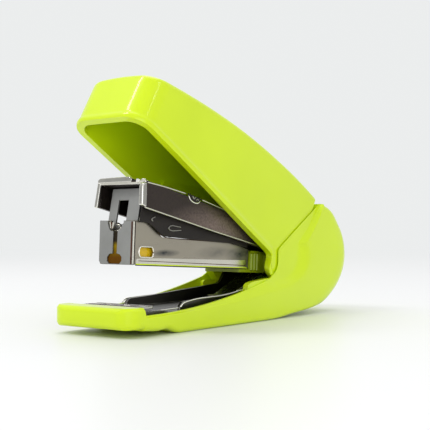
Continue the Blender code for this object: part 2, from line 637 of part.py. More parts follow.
def driver_blade():
    """Driver blade with its window, folded from the strip that lies under the arm."""
    high = ARM_TOP - SHEET - GAP
    low = high - BLADE_THICK
    back = BLADE_FRONT + BLADE_THICK
    end = BLADE_FRONT + STRIP_LENGTH
    outline = [(BLADE_FRONT, BLADE_TIP), (BLADE_FRONT, high), (end, high), (end, low), (back, low),
               (back, BLADE_TIP)]
    blade = prism("driver_blade", outline, -BLADE_HALF, BLADE_HALF, ARM, DARK_NICKEL)
    boolean(blade, box("blade_window", (BLADE_FRONT - 1, back + 0.4), (-BLADE_WINDOW_HALF, BLADE_WINDOW_HALF),
                       (BLADE_WINDOW_BOTTOM, BLADE_WINDOW_TOP), ARM))
    return boolean(blade, rivet_hole("blade_rivet_hole", RIVET_X, 0.0, ARM))


def blade_rivet():
    """Rivet through the arm that holds the blade's strip and the return spring."""
    low = ARM_TOP - SHEET - GAP - BLADE_THICK - GAP - RETURN_THICK
    return rivet("blade_rivet", RIVET_X, low, ARM_TOP + GAP, 1.6, ARM)


def return_spring():
    """Folded leaf between the arm and the magazine that lifts the blade after a stroke."""
    top = ARM_TOP - SHEET - GAP - BLADE_THICK - GAP
    fold_x, fold_z = RIVET_X - 14.5, -0.2
    fold = arc(fold_x, fold_z, FOLD_RADIUS, FOLD_RADIUS, 75.0, 280.0, 8)
    foot = [(RIVET_X - 9.0, fold_z - 1.9), (RIVET_X - 1.0, fold_z - 2.8)]
    path = [(RIVET_X + 2.4, top), (RIVET_X - 3.0, top)] + fold + foot
    leaf = strip("return_spring", path[::-1], RETURN_THICK, RETURN_HALF, ARM, SPRING_STEEL)
    return boolean(leaf, rivet_hole("return_rivet_hole", RIVET_X, fold_z + FOLD_RADIUS, ARM))


# ---------------------------------------------------------------- handle

def crest(s):
    """Height of the handle's upper edge: steep near the front, level over the hinge."""
    t = max(CREST_S - s, 0.0) / (CREST_S - HANDLE_FRONT)
    return HANDLE_CREST - (HANDLE_CREST - HANDLE_HEAD) * t ** CREST_POWER


def outer_half(s):
    """Half-width of the handle, which narrows between its middle and the hinge."""
    narrow_from, narrow_by = -55.0, 35.0
    t = min(max((s - narrow_from) / narrow_by, 0.0), 1.0)
    return HANDLE_HALF + (HANDLE_REAR_HALF - HANDLE_HALF) * t


def corner_inset(s, corner, front):
    """How far the side comes in where the front corner is round in plan."""
    t = min((s - front) / corner, 1.0)
    return corner * (1.0 - math.sqrt(max(1.0 - (1.0 - t) ** 2, 0.0)))


def section(s, half, low, top, radius, crown):
    """One cross-section of the handle: straight sides, round upper edges and a crowned top."""
    flat = half - radius
    ring = [(-half, low), (-half, top - radius)]
    ring += arc(-flat, top - radius, radius, radius, 180.0, 90.0, 4)[1:]
    for k in (-0.6, -0.2, 0.2, 0.6):
        ring.append((flat * k, top + crown * (1.0 - k * k)))
    ring += arc(flat, top - radius, radius, radius, 90.0, 0.0, 4)
    ring += [(half, low)]
    return [Vector((s * MM, y * MM, z * MM)) for y, z in ring]


def loft(name, rings, frame, paint=None):
    """A closed skin through equal cross-sections, with flat ends."""
    made = bmesh.new()
    loops = [[made.verts.new(point) for point in ring] for ring in rings]
    count = len(rings[0])
    for one, two in zip(loops, loops[1:]):
        for i in range(count):
            j = (i + 1) % count
            made.faces.new((one[i], one[j], two[j], two[i]))
    made.faces.new(loops[0][::-1])
    made.faces.new(loops[-1])
    bmesh.ops.recalc_face_normals(made, faces=made.faces)
    mesh = bpy.data.meshes.new(name)
    made.to_mesh(mesh)
    made.free()
    return place(bpy.data.objects.new(name, mesh), frame, paint)


def handle_stations(front, corner, end):
    """Places along the handle, close together where the front corners turn."""
    turned = [front + corner * (1.0 - math.cos(math.radians(a))) for a in (0, 15, 30, 45, 60, 75, 90)]
    last = turned[-1]
    return turned + [last + (end - last) * i / 12 for i in range(1, 13)]


def handle_skin():
    """The outside of the cover ahead of its hinge."""
    rings = []
    for s in handle_stations(HANDLE_FRONT, HANDLE_CORNER, CREST_S):
        half = outer_half(s) - corner_inset(s, HANDLE_CORNER, HANDLE_FRONT)
        crown = HANDLE_CROWN * min(1.0, (CREST_S - s) / 40.0)
        rings.append(section(s, half, HANDLE_BOTTOM, crest(s), HANDLE_EDGE, crown))
    return loft("handle_shell", rings, HANDLE, LIME)


def handle_lobe():
    """The part round the hinge: two side lobes and the tongue that goes under the base's roof."""
    start = math.degrees(math.asin(LOBE_BOTTOM / LOBE_RADIUS))
    root = HANDLE_BOTTOM + 1.0
    overlap = LOBE_FRONT - 6.0
    outline = [(overlap, root), (overlap, 12.0), (LOBE_FRONT, 14.0), (0.0, TONGUE_RADIUS)]
    outline += arc(0.0, 0.0, TONGUE_RADIUS, TONGUE_RADIUS, 88.0, 45.0, 9)
    outline += arc(0.0, 0.0, LOBE_RADIUS, LOBE_RADIUS, 44.0, -180.0 - start, 26)
    outline += [(LOBE_FRONT, LOBE_BOTTOM), (LOBE_FRONT, root)]
    return prism("handle_lobe", outline, -LOBE_HALF, LOBE_HALF, HANDLE)


def handle_hollow():
    """The inside of the cover, open underneath."""
    front = HANDLE_FRONT + HANDLE_WALL
    corner = HANDLE_CORNER - HANDLE_WALL
    rings = []
    for s in handle_stations(front, corner, -3.0):
        half = HANDLE_INNER_HALF - corner_inset(s, corner, front)
        rings.append(section(s, half, -30.0, crest(s) - HANDLE_WALL, HANDLE_EDGE, HANDLE_CROWN))
    return loft("handle_hollow", rings, HANDLE)


def handle_shell():
    """Lime cover, hollow underneath, with two side lobes on the hinge and a tongue under the roof."""
    shell = handle_skin()
    boolean(shell, handle_lobe(), "UNION")
    boolean(shell, handle_hollow())
    inside = HANDLE_INNER_HALF
    boolean(shell, cylinder("handle_hinge_hollow", (0.0, 0.0), TONGUE_RADIUS - TONGUE_THICK, -inside, inside,
                            "Y", HANDLE, sides=48))
    bore = cylinder("handle_bore", (0.0, 0.0), STUB_RADIUS + GAP, -BASE_HALF, BASE_HALF, "Y", HANDLE)
    return boolean(shell, bore)


def handle_lever():
    """Inner lever of the handle, with two cheeks beside the arm and a web above it."""
    web_front, web_back = LEVER_FRONT + 16.0, LEVER_FRONT + 29.0
    side = rounded([(LEVER_FRONT, LEVER_LOW, 0.6), (LEVER_FRONT, LEVER_LOW + 3.5, 0.8),
                    (web_front, LEVER_TOP, 2.0), (web_back, LEVER_TOP, 0.8), (web_back, 0.0, 1.0),
                    (web_back - 3.5, LEVER_LOW, 0.8)])
    reach = HANDLE_INNER_HALF - GAP
    lever = prism("handle_lever", side, -reach, reach, HANDLE, LIME)
    inside = ARM_HALF + ARM_SIDE_GAP + 0.1
    front, back = LEVER_FRONT - 2.0, web_back + 5.0
    low, high = LEVER_LOW - 7.0, LEVER_TOP + 6.0
    web, web_edge = LEVER_TOP - LEVER_WEB, web_front + 2.0
    hollow = [(front, low), (front, high), (web_edge, high), (web_edge, web), (back, web), (back, low)]
    boolean(lever, prism("lever_hollow", hollow, -inside, inside, HANDLE))
    bore = cylinder("lever_bore", (PRESS_S, PRESS_N), PRESS_RADIUS + GAP, -BASE_HALF, BASE_HALF, "Y", HANDLE)
    return boolean(lever, bore)


def press_pin():
    """Steel bar across the lever that presses the arm down."""
    reach = HANDLE_INNER_HALF - GAP
    return cylinder("press_pin", (PRESS_S, PRESS_N), PRESS_RADIUS, -reach, reach, "Y", HANDLE, NICKEL)


base_shell()
base_frame()
anvil_plate()
lift_spring()
lift_rivet()
pins()
magazine_channel()
staple_rail()
pusher()
pusher_rod()
pusher_spring()
magazine_carriage()
driver_arm()
driver_blade()
blade_rivet()
return_spring()
handle_shell()
handle_lever()
press_pin()
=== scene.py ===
"""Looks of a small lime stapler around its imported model.

Lengths inside the functions are millimetres, with X' measured from the front of the base; a piece
is put into metres when its mesh is made. Each hinged group has its own plane: s runs along the
group towards its hinge axis at s = 0, and n is square to it, upwards.
"""

import json
import math

import bmesh
import bpy
import numpy as np
from mathutils import Matrix, Vector


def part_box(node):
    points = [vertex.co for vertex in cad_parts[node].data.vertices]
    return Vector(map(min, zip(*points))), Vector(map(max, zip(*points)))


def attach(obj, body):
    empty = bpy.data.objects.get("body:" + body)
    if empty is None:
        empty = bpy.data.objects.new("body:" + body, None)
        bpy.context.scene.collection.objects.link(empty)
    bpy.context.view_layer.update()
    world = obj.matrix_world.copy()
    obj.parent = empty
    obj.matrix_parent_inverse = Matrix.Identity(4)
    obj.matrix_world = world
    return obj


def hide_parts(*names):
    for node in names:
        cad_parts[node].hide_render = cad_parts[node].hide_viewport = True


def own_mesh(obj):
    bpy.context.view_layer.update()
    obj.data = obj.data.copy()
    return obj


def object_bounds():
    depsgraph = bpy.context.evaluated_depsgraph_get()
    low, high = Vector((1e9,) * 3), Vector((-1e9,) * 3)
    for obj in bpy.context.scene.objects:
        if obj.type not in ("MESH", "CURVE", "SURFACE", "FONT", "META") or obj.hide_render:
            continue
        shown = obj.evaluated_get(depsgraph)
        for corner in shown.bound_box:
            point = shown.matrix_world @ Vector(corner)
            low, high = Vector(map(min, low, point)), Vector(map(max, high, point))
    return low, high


bl_info = {
    "name": "Lime stapler",
    "version": (1, 0, 0),
    "blender": (4, 5, 0),
    "location": "3D View > Sidebar > Stapler",
    "description": "Builds a small lime stapler with its finishes, floor, light and camera",
    "category": "Add Mesh",
}

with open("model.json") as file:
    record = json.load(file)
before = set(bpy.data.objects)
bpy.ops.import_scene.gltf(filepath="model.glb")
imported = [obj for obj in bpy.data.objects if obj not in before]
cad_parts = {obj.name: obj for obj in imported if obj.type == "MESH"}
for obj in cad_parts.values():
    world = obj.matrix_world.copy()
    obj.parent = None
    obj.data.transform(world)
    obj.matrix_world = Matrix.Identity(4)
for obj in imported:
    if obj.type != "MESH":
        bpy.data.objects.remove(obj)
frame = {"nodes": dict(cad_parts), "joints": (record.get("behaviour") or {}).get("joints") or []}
CAD_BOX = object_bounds()
MM = 0.001
FRONT = CAD_BOX[0][0] / MM
LENGTH = (CAD_BOX[1][0] - CAD_BOX[0][0]) / MM
JOINTS = {joint["name"]: joint for joint in frame["joints"]}


def hinge_place(name):
    """X' and height of a hinge."""
    x, _, z = JOINTS[name]["pos_m"]
    return x / MM - FRONT, z / MM


PIN = hinge_place("arm_hinge")
HANDLE_PIN = hinge_place("handle_hinge")
TILTS = {"base": 0.0, "magazine": 2.855, "arm": 12.1, "handle": 30.4}
ORIGINS = {"base": (0.0, 0.0), "magazine": PIN, "arm": PIN, "handle": HANDLE_PIN}


# ---- sizes and colours

class StaplerSettings(bpy.types.PropertyGroup):
    """Sizes and colours that can be changed."""
    lime: bpy.props.FloatVectorProperty(
        name="Lime", description="Colour of the handle and the base", subtype="COLOR", size=3,
        min=0.0, max=1.0, default=(0.635, 0.815, 0.004))
    yellow: bpy.props.FloatVectorProperty(
        name="Yellow", description="Colour of the pusher", subtype="COLOR", size=3,
        min=0.0, max=1.0, default=(0.80, 0.52, 0.004))
    nickel: bpy.props.FloatVectorProperty(
        name="Nickel", description="Colour of the plated sheet", subtype="COLOR", size=3,
        min=0.0, max=1.0, default=(0.345, 0.315, 0.255))
    steel: bpy.props.FloatVectorProperty(
        name="Steel", description="Colour of the dull steel", subtype="COLOR", size=3,
        min=0.0, max=1.0, default=(0.040, 0.030, 0.026))
    lip: bpy.props.FloatProperty(
        name="Lip", description="Height of the rounded lip round the handle's opening, in millimetres",
        default=1.5, min=0.5, max=3.0)
    edge: bpy.props.FloatProperty(
        name="Edge", description="Radius of the handle's long upper edges, in millimetres",
        default=1.4, min=0.5, max=3.0)
    bevel: bpy.props.FloatProperty(
        name="Edge break", description="Width of the broken edges of the sheet metal, in millimetres",
        default=0.14, min=0.02, max=0.25)
    floor_size: bpy.props.FloatProperty(
        name="Floor", description="Half the width of the floor", default=2.5, unit="LENGTH")


def settings():
    """The scene's settings."""
    return bpy.context.scene.stapler


# ---- mesh tools

def to_row(group, s, y, n):
    """Points of a group's plane in the row frame, in metres: turned by its tilt, put at its hinge."""
    tilt = math.radians(TILTS[group])
    ox, oz = ORIGINS[group]
    s, y, n = np.broadcast_arrays(s, y, n)
    x = ox + s * math.cos(tilt) + n * math.sin(tilt)
    z = oz - s * math.sin(tilt) + n * math.cos(tilt)
    return np.stack([x + FRONT, y, z], axis=-1) * MM


def grid_faces(rows, columns, start=0):
    """Quads of a grid of points numbered row by row."""
    index = np.arange(rows * columns).reshape(rows, columns) + start
    quads = np.stack([index[:-1, :-1], index[:-1, 1:], index[1:, 1:], index[1:, :-1]], axis=-1)
    return quads.reshape(-1, 4)


def strip_faces(one, two):
    """Quads between two equal lines of point numbers."""
    return np.stack([one[:-1], one[1:], two[1:], two[:-1]], axis=-1)


MERGE = 0.000002                # doubles closer than this become one vertex, in metres


def make_object(name, points, faces, body, slot, paint, smooth_angle=35.0):
    """A finished piece: doubles merged, normals outwards, riding on its body."""
    mesh = bpy.data.meshes.new(name)
    mesh.from_pydata(points.reshape(-1, 3).tolist(), [], [list(face) for face in faces])
    tidy = bmesh.new()
    tidy.from_mesh(mesh)
    bmesh.ops.remove_doubles(tidy, verts=tidy.verts, dist=MERGE)
    bmesh.ops.dissolve_degenerate(tidy, edges=tidy.edges, dist=MERGE / 2)
    bmesh.ops.recalc_face_normals(tidy, faces=tidy.faces)
    tidy.to_mesh(mesh)
    tidy.free()
    mesh.shade_smooth()
    mesh.set_sharp_from_angle(angle=math.radians(smooth_angle))
    return adopt(name, mesh, body, paint)


def adopt(name, mesh, body, paint):
    """Puts a mesh into the scene as a piece of a body."""
    piece = bpy.data.objects.new(name, mesh)
    bpy.context.scene.collection.objects.link(piece)
    mesh.materials.append(paint)
    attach(piece, body)
    return piece


def solid(name, outer, inner, body, slot, paint, spine=False, **options):
    """A closed wall between two equal grids: both faces and a strip along each border.

    With a spine the last column of each grid is where its two halves meet, and has no strip.
    """
    rows, columns = outer.shape[:2]
    count = rows * columns
    numbers = np.arange(count).reshape(rows, columns)
    faces = [grid_faces(rows, columns), grid_faces(rows, columns, count)[:, ::-1]]
    borders = [numbers[0], numbers[-1], numbers[:, 0]]
    if not spine:
        borders.append(numbers[:, -1])
    faces += [strip_faces(line, line + count) for line in borders]
    points = np.concatenate([outer.reshape(-1, 3), inner.reshape(-1, 3)])
    return make_object(name, points, np.concatenate(faces), body, slot, paint, **options)


def tube(name, path, radius, body, slot, paint, sides=14):
    """A round wire: a circle carried along a path, square to it, closed with a cap at each end.

    Point = path(u) + radius * (cos v * side(u) + sin v * up(u)).
    """
    ahead = np.gradient(path, axis=0)
    ahead /= np.linalg.norm(ahead, axis=1, keepdims=True)
    side = np.cross(ahead, np.where(np.abs(ahead[:, 1:2]) > 0.9, (0.0, 0.0, 1.0), (0.0, 1.0, 0.0)))
    side /= np.linalg.norm(side, axis=1, keepdims=True)
    up = np.cross(side, ahead)
    turn = np.linspace(0.0, 2 * math.pi, sides, endpoint=False)
    ring = np.cos(turn)[None, :, None] * side[:, None] + np.sin(turn)[None, :, None] * up[:, None]
    profile = np.concatenate([[0.0], np.full(len(path) - 2, 1.0), [0.0]]) * radius
    points = path[:, None] + ring * profile[:, None, None]
    points = np.concatenate([points, points[:, :1]], axis=1)
    return make_object(name, points, grid_faces(*points.shape[:2]), body, slot, paint)


def wire(name, knots, y, radius, group, body, slot, finish, count, steps=6):
    """A round wire through knots of a group's plane, at one place across; the radius in millimetres."""
    way = resample(rounded_path(knots, steps), count)
    tube(name, to_row(group, way[:, 0], y, way[:, 1]), radius * MM, body, slot, paint(finish))


def plate(name, outline, low, high, group, body, slot, paint, bevel_width=0.0, along="y", edge=None, steps=6):
    """A flat outline in a group's frame, carried straight from low to high.

    Along y the outline holds (s, n) knots; along s it holds (y, n) knots. An edge paint goes on
    the rounded edges.
    """
    outline = rounded_path(outline, steps)
    count = len(outline)
    if along == "y":
        layers = [to_row(group, outline[:, 0], y, outline[:, 1]) for y in (low, high)]
    else:
        layers = [to_row(group, s, outline[:, 0], outline[:, 1]) for s in (low, high)]
    one = np.arange(count)
    two = np.roll(one, -1)
    faces = [one[::-1].tolist(), (one + count).tolist()]
    faces += np.stack([one, two, two + count, one + count], axis=1).tolist()
    piece = make_object(name, np.concatenate(layers), faces, body, slot, paint)
    if bevel_width:
        bevel = soften(piece, bevel_width)
        if edge is not None:
            piece.data.materials.append(edge)
            bevel.material = 1
    return piece


def soften(piece, width, segments=3, angle=40.0, name="edge_break"):
    """Rounds a piece's edges that turn by more than the angle, by the width in millimetres."""
    bevel = piece.modifiers.new(name, "BEVEL")
    bevel.width = width * MM
    bevel.segments = segments
    bevel.limit_method = "ANGLE"
    bevel.angle_limit = math.radians(angle)
    return bevel


def dressed(node, name, body, slot, paint, width=None, edge=None):
    """A copy of a CAD node with its flat faces joined and its edges broken, in the node's place.

    Without a width of its own it takes the setting. An edge paint goes on the broken edges.
    """
    mesh = frame["nodes"][node].data.copy()
    mesh.materials.clear()
    tidy = bmesh.new()
    tidy.from_mesh(mesh)
    bmesh.ops.remove_doubles(tidy, verts=tidy.verts, dist=1.5 * MERGE)
    bmesh.ops.dissolve_limit(tidy, angle_limit=math.radians(1.0), verts=tidy.verts, edges=tidy.edges)
    tidy.to_mesh(mesh)
    tidy.free()
    mesh.shade_smooth()
    mesh.set_sharp_from_angle(angle=math.radians(30.0))
    piece = adopt(name, mesh, body, paint)
    bevel = soften(piece, width or settings().bevel, 2, 35.0)
    if edge is not None:
        mesh.materials.append(edge)
        bevel.material = 1
    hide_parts(node)
    return piece


def smoothstep(low, high, value):
    """0 below low, 1 above high, with a soft rise between: t * t * (3 - 2 t)."""
    t = np.clip((value - low) / (high - low), 0.0, 1.0)
    return t * t * (3.0 - 2.0 * t)


def rounded_path(knots, steps=6):
    """A path through corner knots (x, z) or (x, z, reach).

    A knot with a reach is turned by a quadratic curve that starts and ends that far from it.
    """
    points = [np.array(knots[0][:2], float)]
    for before, here, after in zip(knots, knots[1:], knots[2:]):
        a, b, c = (np.array(k[:2], float) for k in (before, here, after))
        if len(here) < 3:
            points.append(b)
            continue
        one = b + (a - b) / np.linalg.norm(a - b) * here[2]
        two = b + (c - b) / np.linalg.norm(c - b) * here[2]
        t = np.linspace(0.0, 1.0, steps)[:, None]
        points.extend((1 - t) ** 2 * one + 2 * t * (1 - t) * b + t * t * two)
    points.append(np.array(knots[-1][:2], float))
    return np.array(points)


def resample(path, count):
    """The same path with evenly spaced points."""
    step = np.linalg.norm(np.diff(path, axis=0), axis=1)
    along = np.concatenate([[0.0], np.cumsum(step)])
    at = np.linspace(0.0, along[-1], count)
    return np.stack([np.interp(at, along, path[:, k]) for k in range(path.shape[1])], axis=1)


# ---- finishes

ROLLING = 420.0      # rolling lines of sheet, in cycles per metre
ROLLED = (0.06, 1.0, 1.0)       # and how far they are drawn out
PITS = 1500.0      # fine pits
# colour of the dark blue reflections painted on the magazine's side
DARK_REFLECTION_COLOUR = (0.012, 0.020, 0.028)
MAG_FRONT = -69.5      # front face of the magazine's plate, along s


def row_place(group, s, y, n):
    """A place of a group's plane in the row frame, in millimetres."""
    return tuple(to_row(group, s, y, n) / MM)


# middle of a broad patch where the arm's steel is painted paler
PALE_PATCH = row_place("arm", -41.0, -7.3, 1.2)
# patches of painted dark blue reflection on the magazine's side: middle, size and depth of each
DARK_REFLECTIONS = (
    (row_place("magazine", -58.5, -5.2, 0.95), (5.2, 4.0, 0.95), 0.95),
    (row_place("magazine", -29.5, -5.2, 1.4), (7.0, 4.0, 2.2), 0.9),
    (row_place("magazine", -40.0, -5.2, 1.7), (9.0, 4.0, 1.6), 0.45),
)


class Graph:
    """Short calls for the nodes of one tree."""

    def __init__(self, tree):
        self.tree = tree

    def node(self, kind, **values):
        """A new node with its settings."""
        made = self.tree.nodes.new(kind)
        for key, value in values.items():
            setattr(made, key, value)
        return made

    def link(self, output, socket):
        """A link from an output to an input."""
        self.tree.links.new(output, socket)

    def range(self, value, low, high, source=(0.3, 0.7)):
        """The value taken from the source range to the range low to high."""
        made = self.node("ShaderNodeMapRange")
        made.inputs["From Min"].default_value, made.inputs["From Max"].default_value = source
        made.inputs["To Min"].default_value, made.inputs["To Max"].default_value = low, high
        self.link(value, made.inputs["Value"])
        return made.outputs["Result"]

    def both(self, operation, one, two):
        """Two values joined by an operation such as MULTIPLY or MAXIMUM."""
        made = self.node("ShaderNodeMath", operation=operation)
        self.link(one, made.inputs[0])
        self.link(two, made.inputs[1])
        return made.outputs[0]

    def mix(self, factor, one, two):
        """A mix of two colours; either may be a socket."""
        made = self.node("ShaderNodeMix", data_type="RGBA")
        for socket, value in ((made.inputs[6], one), (made.inputs[7], two)):
            if isinstance(value, bpy.types.NodeSocket):
                self.link(value, socket)
            else:
                socket.default_value = (*value, 1.0)
        self.link(factor, made.inputs[0])
        return made.outputs[2]

    def surface(self, factor, one, two, output):
        """A mix of two shaders, led to the surface of the named output node."""
        made = self.node("ShaderNodeMixShader")
        for socket, value in zip(made.inputs, (factor, one.outputs[0], two.outputs[0])):
            self.link(value, socket)
        self.link(made.outputs[0], self.tree.nodes[output].inputs["Surface"])


class Finish(Graph):
    """A Principled material under construction, placed by Object coordinates."""

    def __init__(self, name, roughness, metallic=0.0, coat=0.0):
        self.material = bpy.data.materials.new(name)
        self.material.use_nodes = True
        super().__init__(self.material.node_tree)
        self.shader = self.tree.nodes["Principled BSDF"]
        self.shader.inputs["Roughness"].default_value = roughness
        self.shader.inputs["Metallic"].default_value = metallic
        self.shader.inputs["Coat Weight"].default_value = coat
        self.shader.inputs["Coat Roughness"].default_value = 0.08
        self.place = self.node("ShaderNodeTexCoord").outputs["Object"]

    def mapped(self, **values):
        """Object coordinates turned, moved and scaled by a mapping node."""
        mapping = self.node("ShaderNodeMapping")
        for key, value in values.items():
            mapping.inputs[key].default_value = value
        self.link(self.place, mapping.inputs["Vector"])
        return mapping.outputs["Vector"]

    def noise(self, scale, stretch=(1.0, 1.0, 1.0), detail=3.0):
        """Noise on Object coordinates, in cycles per metre, drawn out along an axis by stretch."""
        noise = self.node("ShaderNodeTexNoise")
        noise.inputs["Scale"].default_value = scale
        noise.inputs["Detail"].default_value = detail
        self.link(self.mapped(Scale=stretch), noise.inputs["Vector"])
        return noise.outputs["Fac"]

    def distance(self, vector):
        """Length of a vector."""
        made = self.node("ShaderNodeVectorMath", operation="LENGTH")
        self.link(vector, made.inputs[0])
        return made.outputs["Value"]

    def spot(self, place, size):
        """1 inside an ellipsoid about a place, falling softly to 0 at its surface; lengths in mm."""
        moved = self.mapped(Location=[-p / r for p, r in zip(place, size)],
                            Scale=[1.0 / (r * MM) for r in size])
        return self.range(self.distance(moved), 1.0, 0.0, (0.2, 1.0))

    def colour(self, value):
        """Leads a value to the base colour."""
        self.link(value, self.shader.inputs["Base Color"])

    def rough(self, value):
        """Leads a value to the roughness."""
        self.link(value, self.shader.inputs["Roughness"])

    def bump(self, height, distance, strength=1.0):
        """Bumps of the given height in metres."""
        made = self.node("ShaderNodeBump")
        made.inputs["Distance"].default_value = distance
        made.inputs["Strength"].default_value = strength
        self.link(height, made.inputs["Height"])
        self.link(made.outputs["Normal"], self.shader.inputs["Normal"])


def scaled(colour, factor):
    """A colour made lighter or darker."""
    return tuple(min(channel * factor, 1.0) for channel in colour)


def moulded(name, colour, roughness=0.33, coat=0.5, specular=0.2):
    """Glossy moulded plastic: faint flow clouds in its colour, an orange-peel skin, fine scuffs."""
    made = Finish(name, roughness, coat=coat)
    made.shader.inputs["Specular IOR Level"].default_value = specular
    clouds = made.range(made.noise(45.0, detail=2.0), 0.0, 1.0)
    made.colour(made.mix(clouds, scaled(colour, 0.965), scaled(colour, 1.02)))
    made.rough(made.range(made.noise(260.0, detail=4.0), roughness - 0.04, roughness + 0.06))
    made.bump(made.noise(650.0, detail=1.0), 0.000003, 0.25)
    return made.material


def plated(name, colour, roughness, grain=0.12):
    """Plated sheet: rolling lines along its length, darker clouds of tarnish and fine pits."""
    made = Finish(name, roughness, metallic=1.0)
    lines = made.range(made.noise(ROLLING, ROLLED, 4.0), 0.0, 1.0)
    clouds = made.range(made.noise(160.0, (0.6, 1.0, 1.0)), 0.0, 1.0, (0.35, 0.65))
    tone = made.mix(lines, scaled(colour, 1.0 - grain), scaled(colour, 1.0 + grain))
    made.colour(made.mix(made.range(clouds, 0.0, 0.5, (0.0, 1.0)), tone, scaled(colour, 0.80)))
    made.rough(made.range(lines, roughness - 0.06, roughness + 0.10, (0.0, 1.0)))
    made.bump(made.noise(PITS, (0.1, 1.0, 1.0), 2.0), 0.000008, 0.5)
    return made.material


def grainy(name, colour, roughness=0.42):
    """Dull dark steel with a speckled, etched grain, paler over a broad patch low on the arm."""
    made = Finish(name, roughness, metallic=0.8)
    speckle = made.range(made.noise(1900.0, detail=4.0), 0.0, 1.0, (0.3, 0.7))
    pale_patch = made.spot(PALE_PATCH, (24.0, 16.0, 6.5))
    dark = made.mix(speckle, scaled(colour, 0.8), scaled(colour, 1.25))
    pale = made.mix(speckle, scaled(colour, 2.8), scaled(colour, 6.5))
    made.colour(made.mix(pale_patch, dark, pale))
    made.rough(made.range(speckle, roughness - 0.1, roughness + 0.12, (0.0, 1.0)))
    made.bump(speckle, 0.000008, 0.4)
    return made.material


def channel_sheet(name, colour):
    """Plated sheet of the magazine: fine rolling lines, warm clouds and patches of painted dark blue
    reflection.
    """
    made = Finish(name, 0.32, metallic=0.9)
    lines = made.range(made.noise(ROLLING, ROLLED, 4.0), 0.0, 1.0)
    clouds = made.range(made.noise(120.0, (0.6, 1.0, 1.0)), 0.0, 1.0, (0.35, 0.65))
    tone = made.mix(lines, scaled(colour, 0.96), scaled(colour, 1.04))
    tone = made.mix(made.range(clouds, 0.0, 0.3, (0.0, 1.0)), tone, scaled(colour, 0.85))
    uneven = made.range(made.noise(500.0, (0.5, 1.0, 1.0)), 0.55, 1.0, (0.4, 0.6))
    # the dark blue reflections are painted in, patch by patch
    for place, size, depth in DARK_REFLECTIONS:
        reflection_patch = made.both("MULTIPLY", made.spot(place, size), made.range(uneven, 0.0, depth, (0.0, 1.0)))
        tone = made.mix(reflection_patch, tone, DARK_REFLECTION_COLOUR)
    made.colour(tone)
    made.rough(made.range(lines, 0.26, 0.40, (0.0, 1.0)))
    made.bump(made.noise(PITS, (0.1, 1.0, 1.0), 2.0), 0.000006, 0.4)
    return made.material


def shade_sheet(name, colour):
    """Near-black sheet that stands for shade: a dark skin with faint streaks."""
    made = Finish(name, 0.55)
    made.shader.inputs["Specular IOR Level"].default_value = 0.25
    streaks = made.range(made.noise(300.0, (0.2, 1.0, 1.0)), 0.0, 1.0)
    made.colour(made.mix(streaks, scaled(colour, 0.7), scaled(colour, 1.6)))
    made.bump(made.noise(PITS), 0.000006, 0.4)
    return made.material


def pusher_in_shade(name):
    """The yellow pusher seen through the slit, painted in its shade: brown at the foot, gold at mid height,
    black above.
    """
    made = Finish(name, 0.45, metallic=0.9)
    height = made.node("ShaderNodeSeparateXYZ")
    made.link(made.place, height.inputs[0])
    low, middle, high = (to_row("magazine", MAG_FRONT + 0.3, 0.0, n)[2] for n in (-0.4, 2.2, 3.2))
    foot = made.range(height.outputs["Z"], 0.0, 1.0, (low, middle))
    top = made.range(height.outputs["Z"], 0.0, 1.0, (middle, high))
    tone = made.mix(foot, (0.13, 0.050, 0.0005), (0.30, 0.20, 0.002))
    made.colour(made.mix(top, tone, (0.03, 0.022, 0.012)))
    made.bump(made.noise(900.0), 0.00002, 0.6)
    return made.material


PLATED = {
    # key: name, colour, roughness, grain
    "blade": ("blade_sheet", (0.34, 0.34, 0.33), 0.55, 0.03),
    "anvil": ("anvil_sheet", (0.50, 0.49, 0.45), 0.25, 0.15),
    # dark lines and bands that stand for shade in bends, folds and grooves
    "umber": ("painted_shade_line", (0.10, 0.045, 0.03), 0.4, 0.3),
    # near-white edges and rims that stand for highlights
    "bright": ("painted_bright_highlight", (0.90, 0.88, 0.82), 0.25, 0.04),
    # pale bands and lines that stand for softer highlights
    "cream": ("painted_soft_highlight", (0.66, 0.64, 0.56), 0.22, 0.05),
    "grey": ("satin_lip", (0.36, 0.35, 0.32), 0.35, 0.08),
    "frame": ("frame_sheet", (0.10, 0.095, 0.085), 0.30, 0.3),
    "spring": ("spring_strip", (0.10, 0.095, 0.085), 0.25, 0.2),
}
PAINTS = {}


def paint(key):
    """The finish of a key, made on first use."""
    values = settings()
    makers = {
        "lime": lambda: moulded("lime_moulding", tuple(values.lime)),
        # the lime moulding made darker as painted shade, for the carriage
        "shaded_lime": lambda: moulded("lime_in_painted_shade", (0.26, 0.34, 0.004)),
        "yellow": lambda: moulded("yellow_moulding", tuple(values.yellow), 0.35),
        "nickel": lambda: plated("nickel_sheet", tuple(values.nickel), 0.30),
        "channel": lambda: channel_sheet("channel_sheet", tuple(values.nickel)),
        "steel": lambda: grainy("etched_steel", tuple(values.steel)),
        "shade": lambda: shade_sheet("painted_shade_sheet", (0.012, 0.009, 0.007)),
        "pusher_shade": lambda: pusher_in_shade("painted_pusher_shade"),
    }
    if key not in PAINTS:
        PAINTS[key] = plated(*PLATED[key]) if key in PLATED else makers[key]()
    return PAINTS[key]


# ---- handle

FRONT_S = -2.0 - HANDLE_PIN[0]  # front of the cover: 2 mm ahead of the base's when level
CREST = 17.6      # height of the upper edge at the back
CREST_FALL = 13.6      # and what it loses towards the front
CREST_S = 0.9
LOW = -6.67      # the level lower rim
LOBE_FRONT, LOBE_BACK = -10.04, -24.04
HANDLE_HALF = 10.7
ROOF_END = 9.0      # from the front to where the spine begins
COVER_WALL, ROOF_WALL = 1.7, 1.8
INNER_EDGE = 1.0
TONGUE_RADII, TONGUE_TURN, TONGUE_HALF = (14.6, 13.4), (92.0, 40.0), 9.9


def crest(s):
    """Height of the handle's upper edge: 17.6 less 13.6 times the 1.75th power of the distance."""
    t = np.clip((CREST_S - s) / (CREST_S - FRONT_S), 0.0, None)
    return CREST - CREST_FALL * t ** 1.75


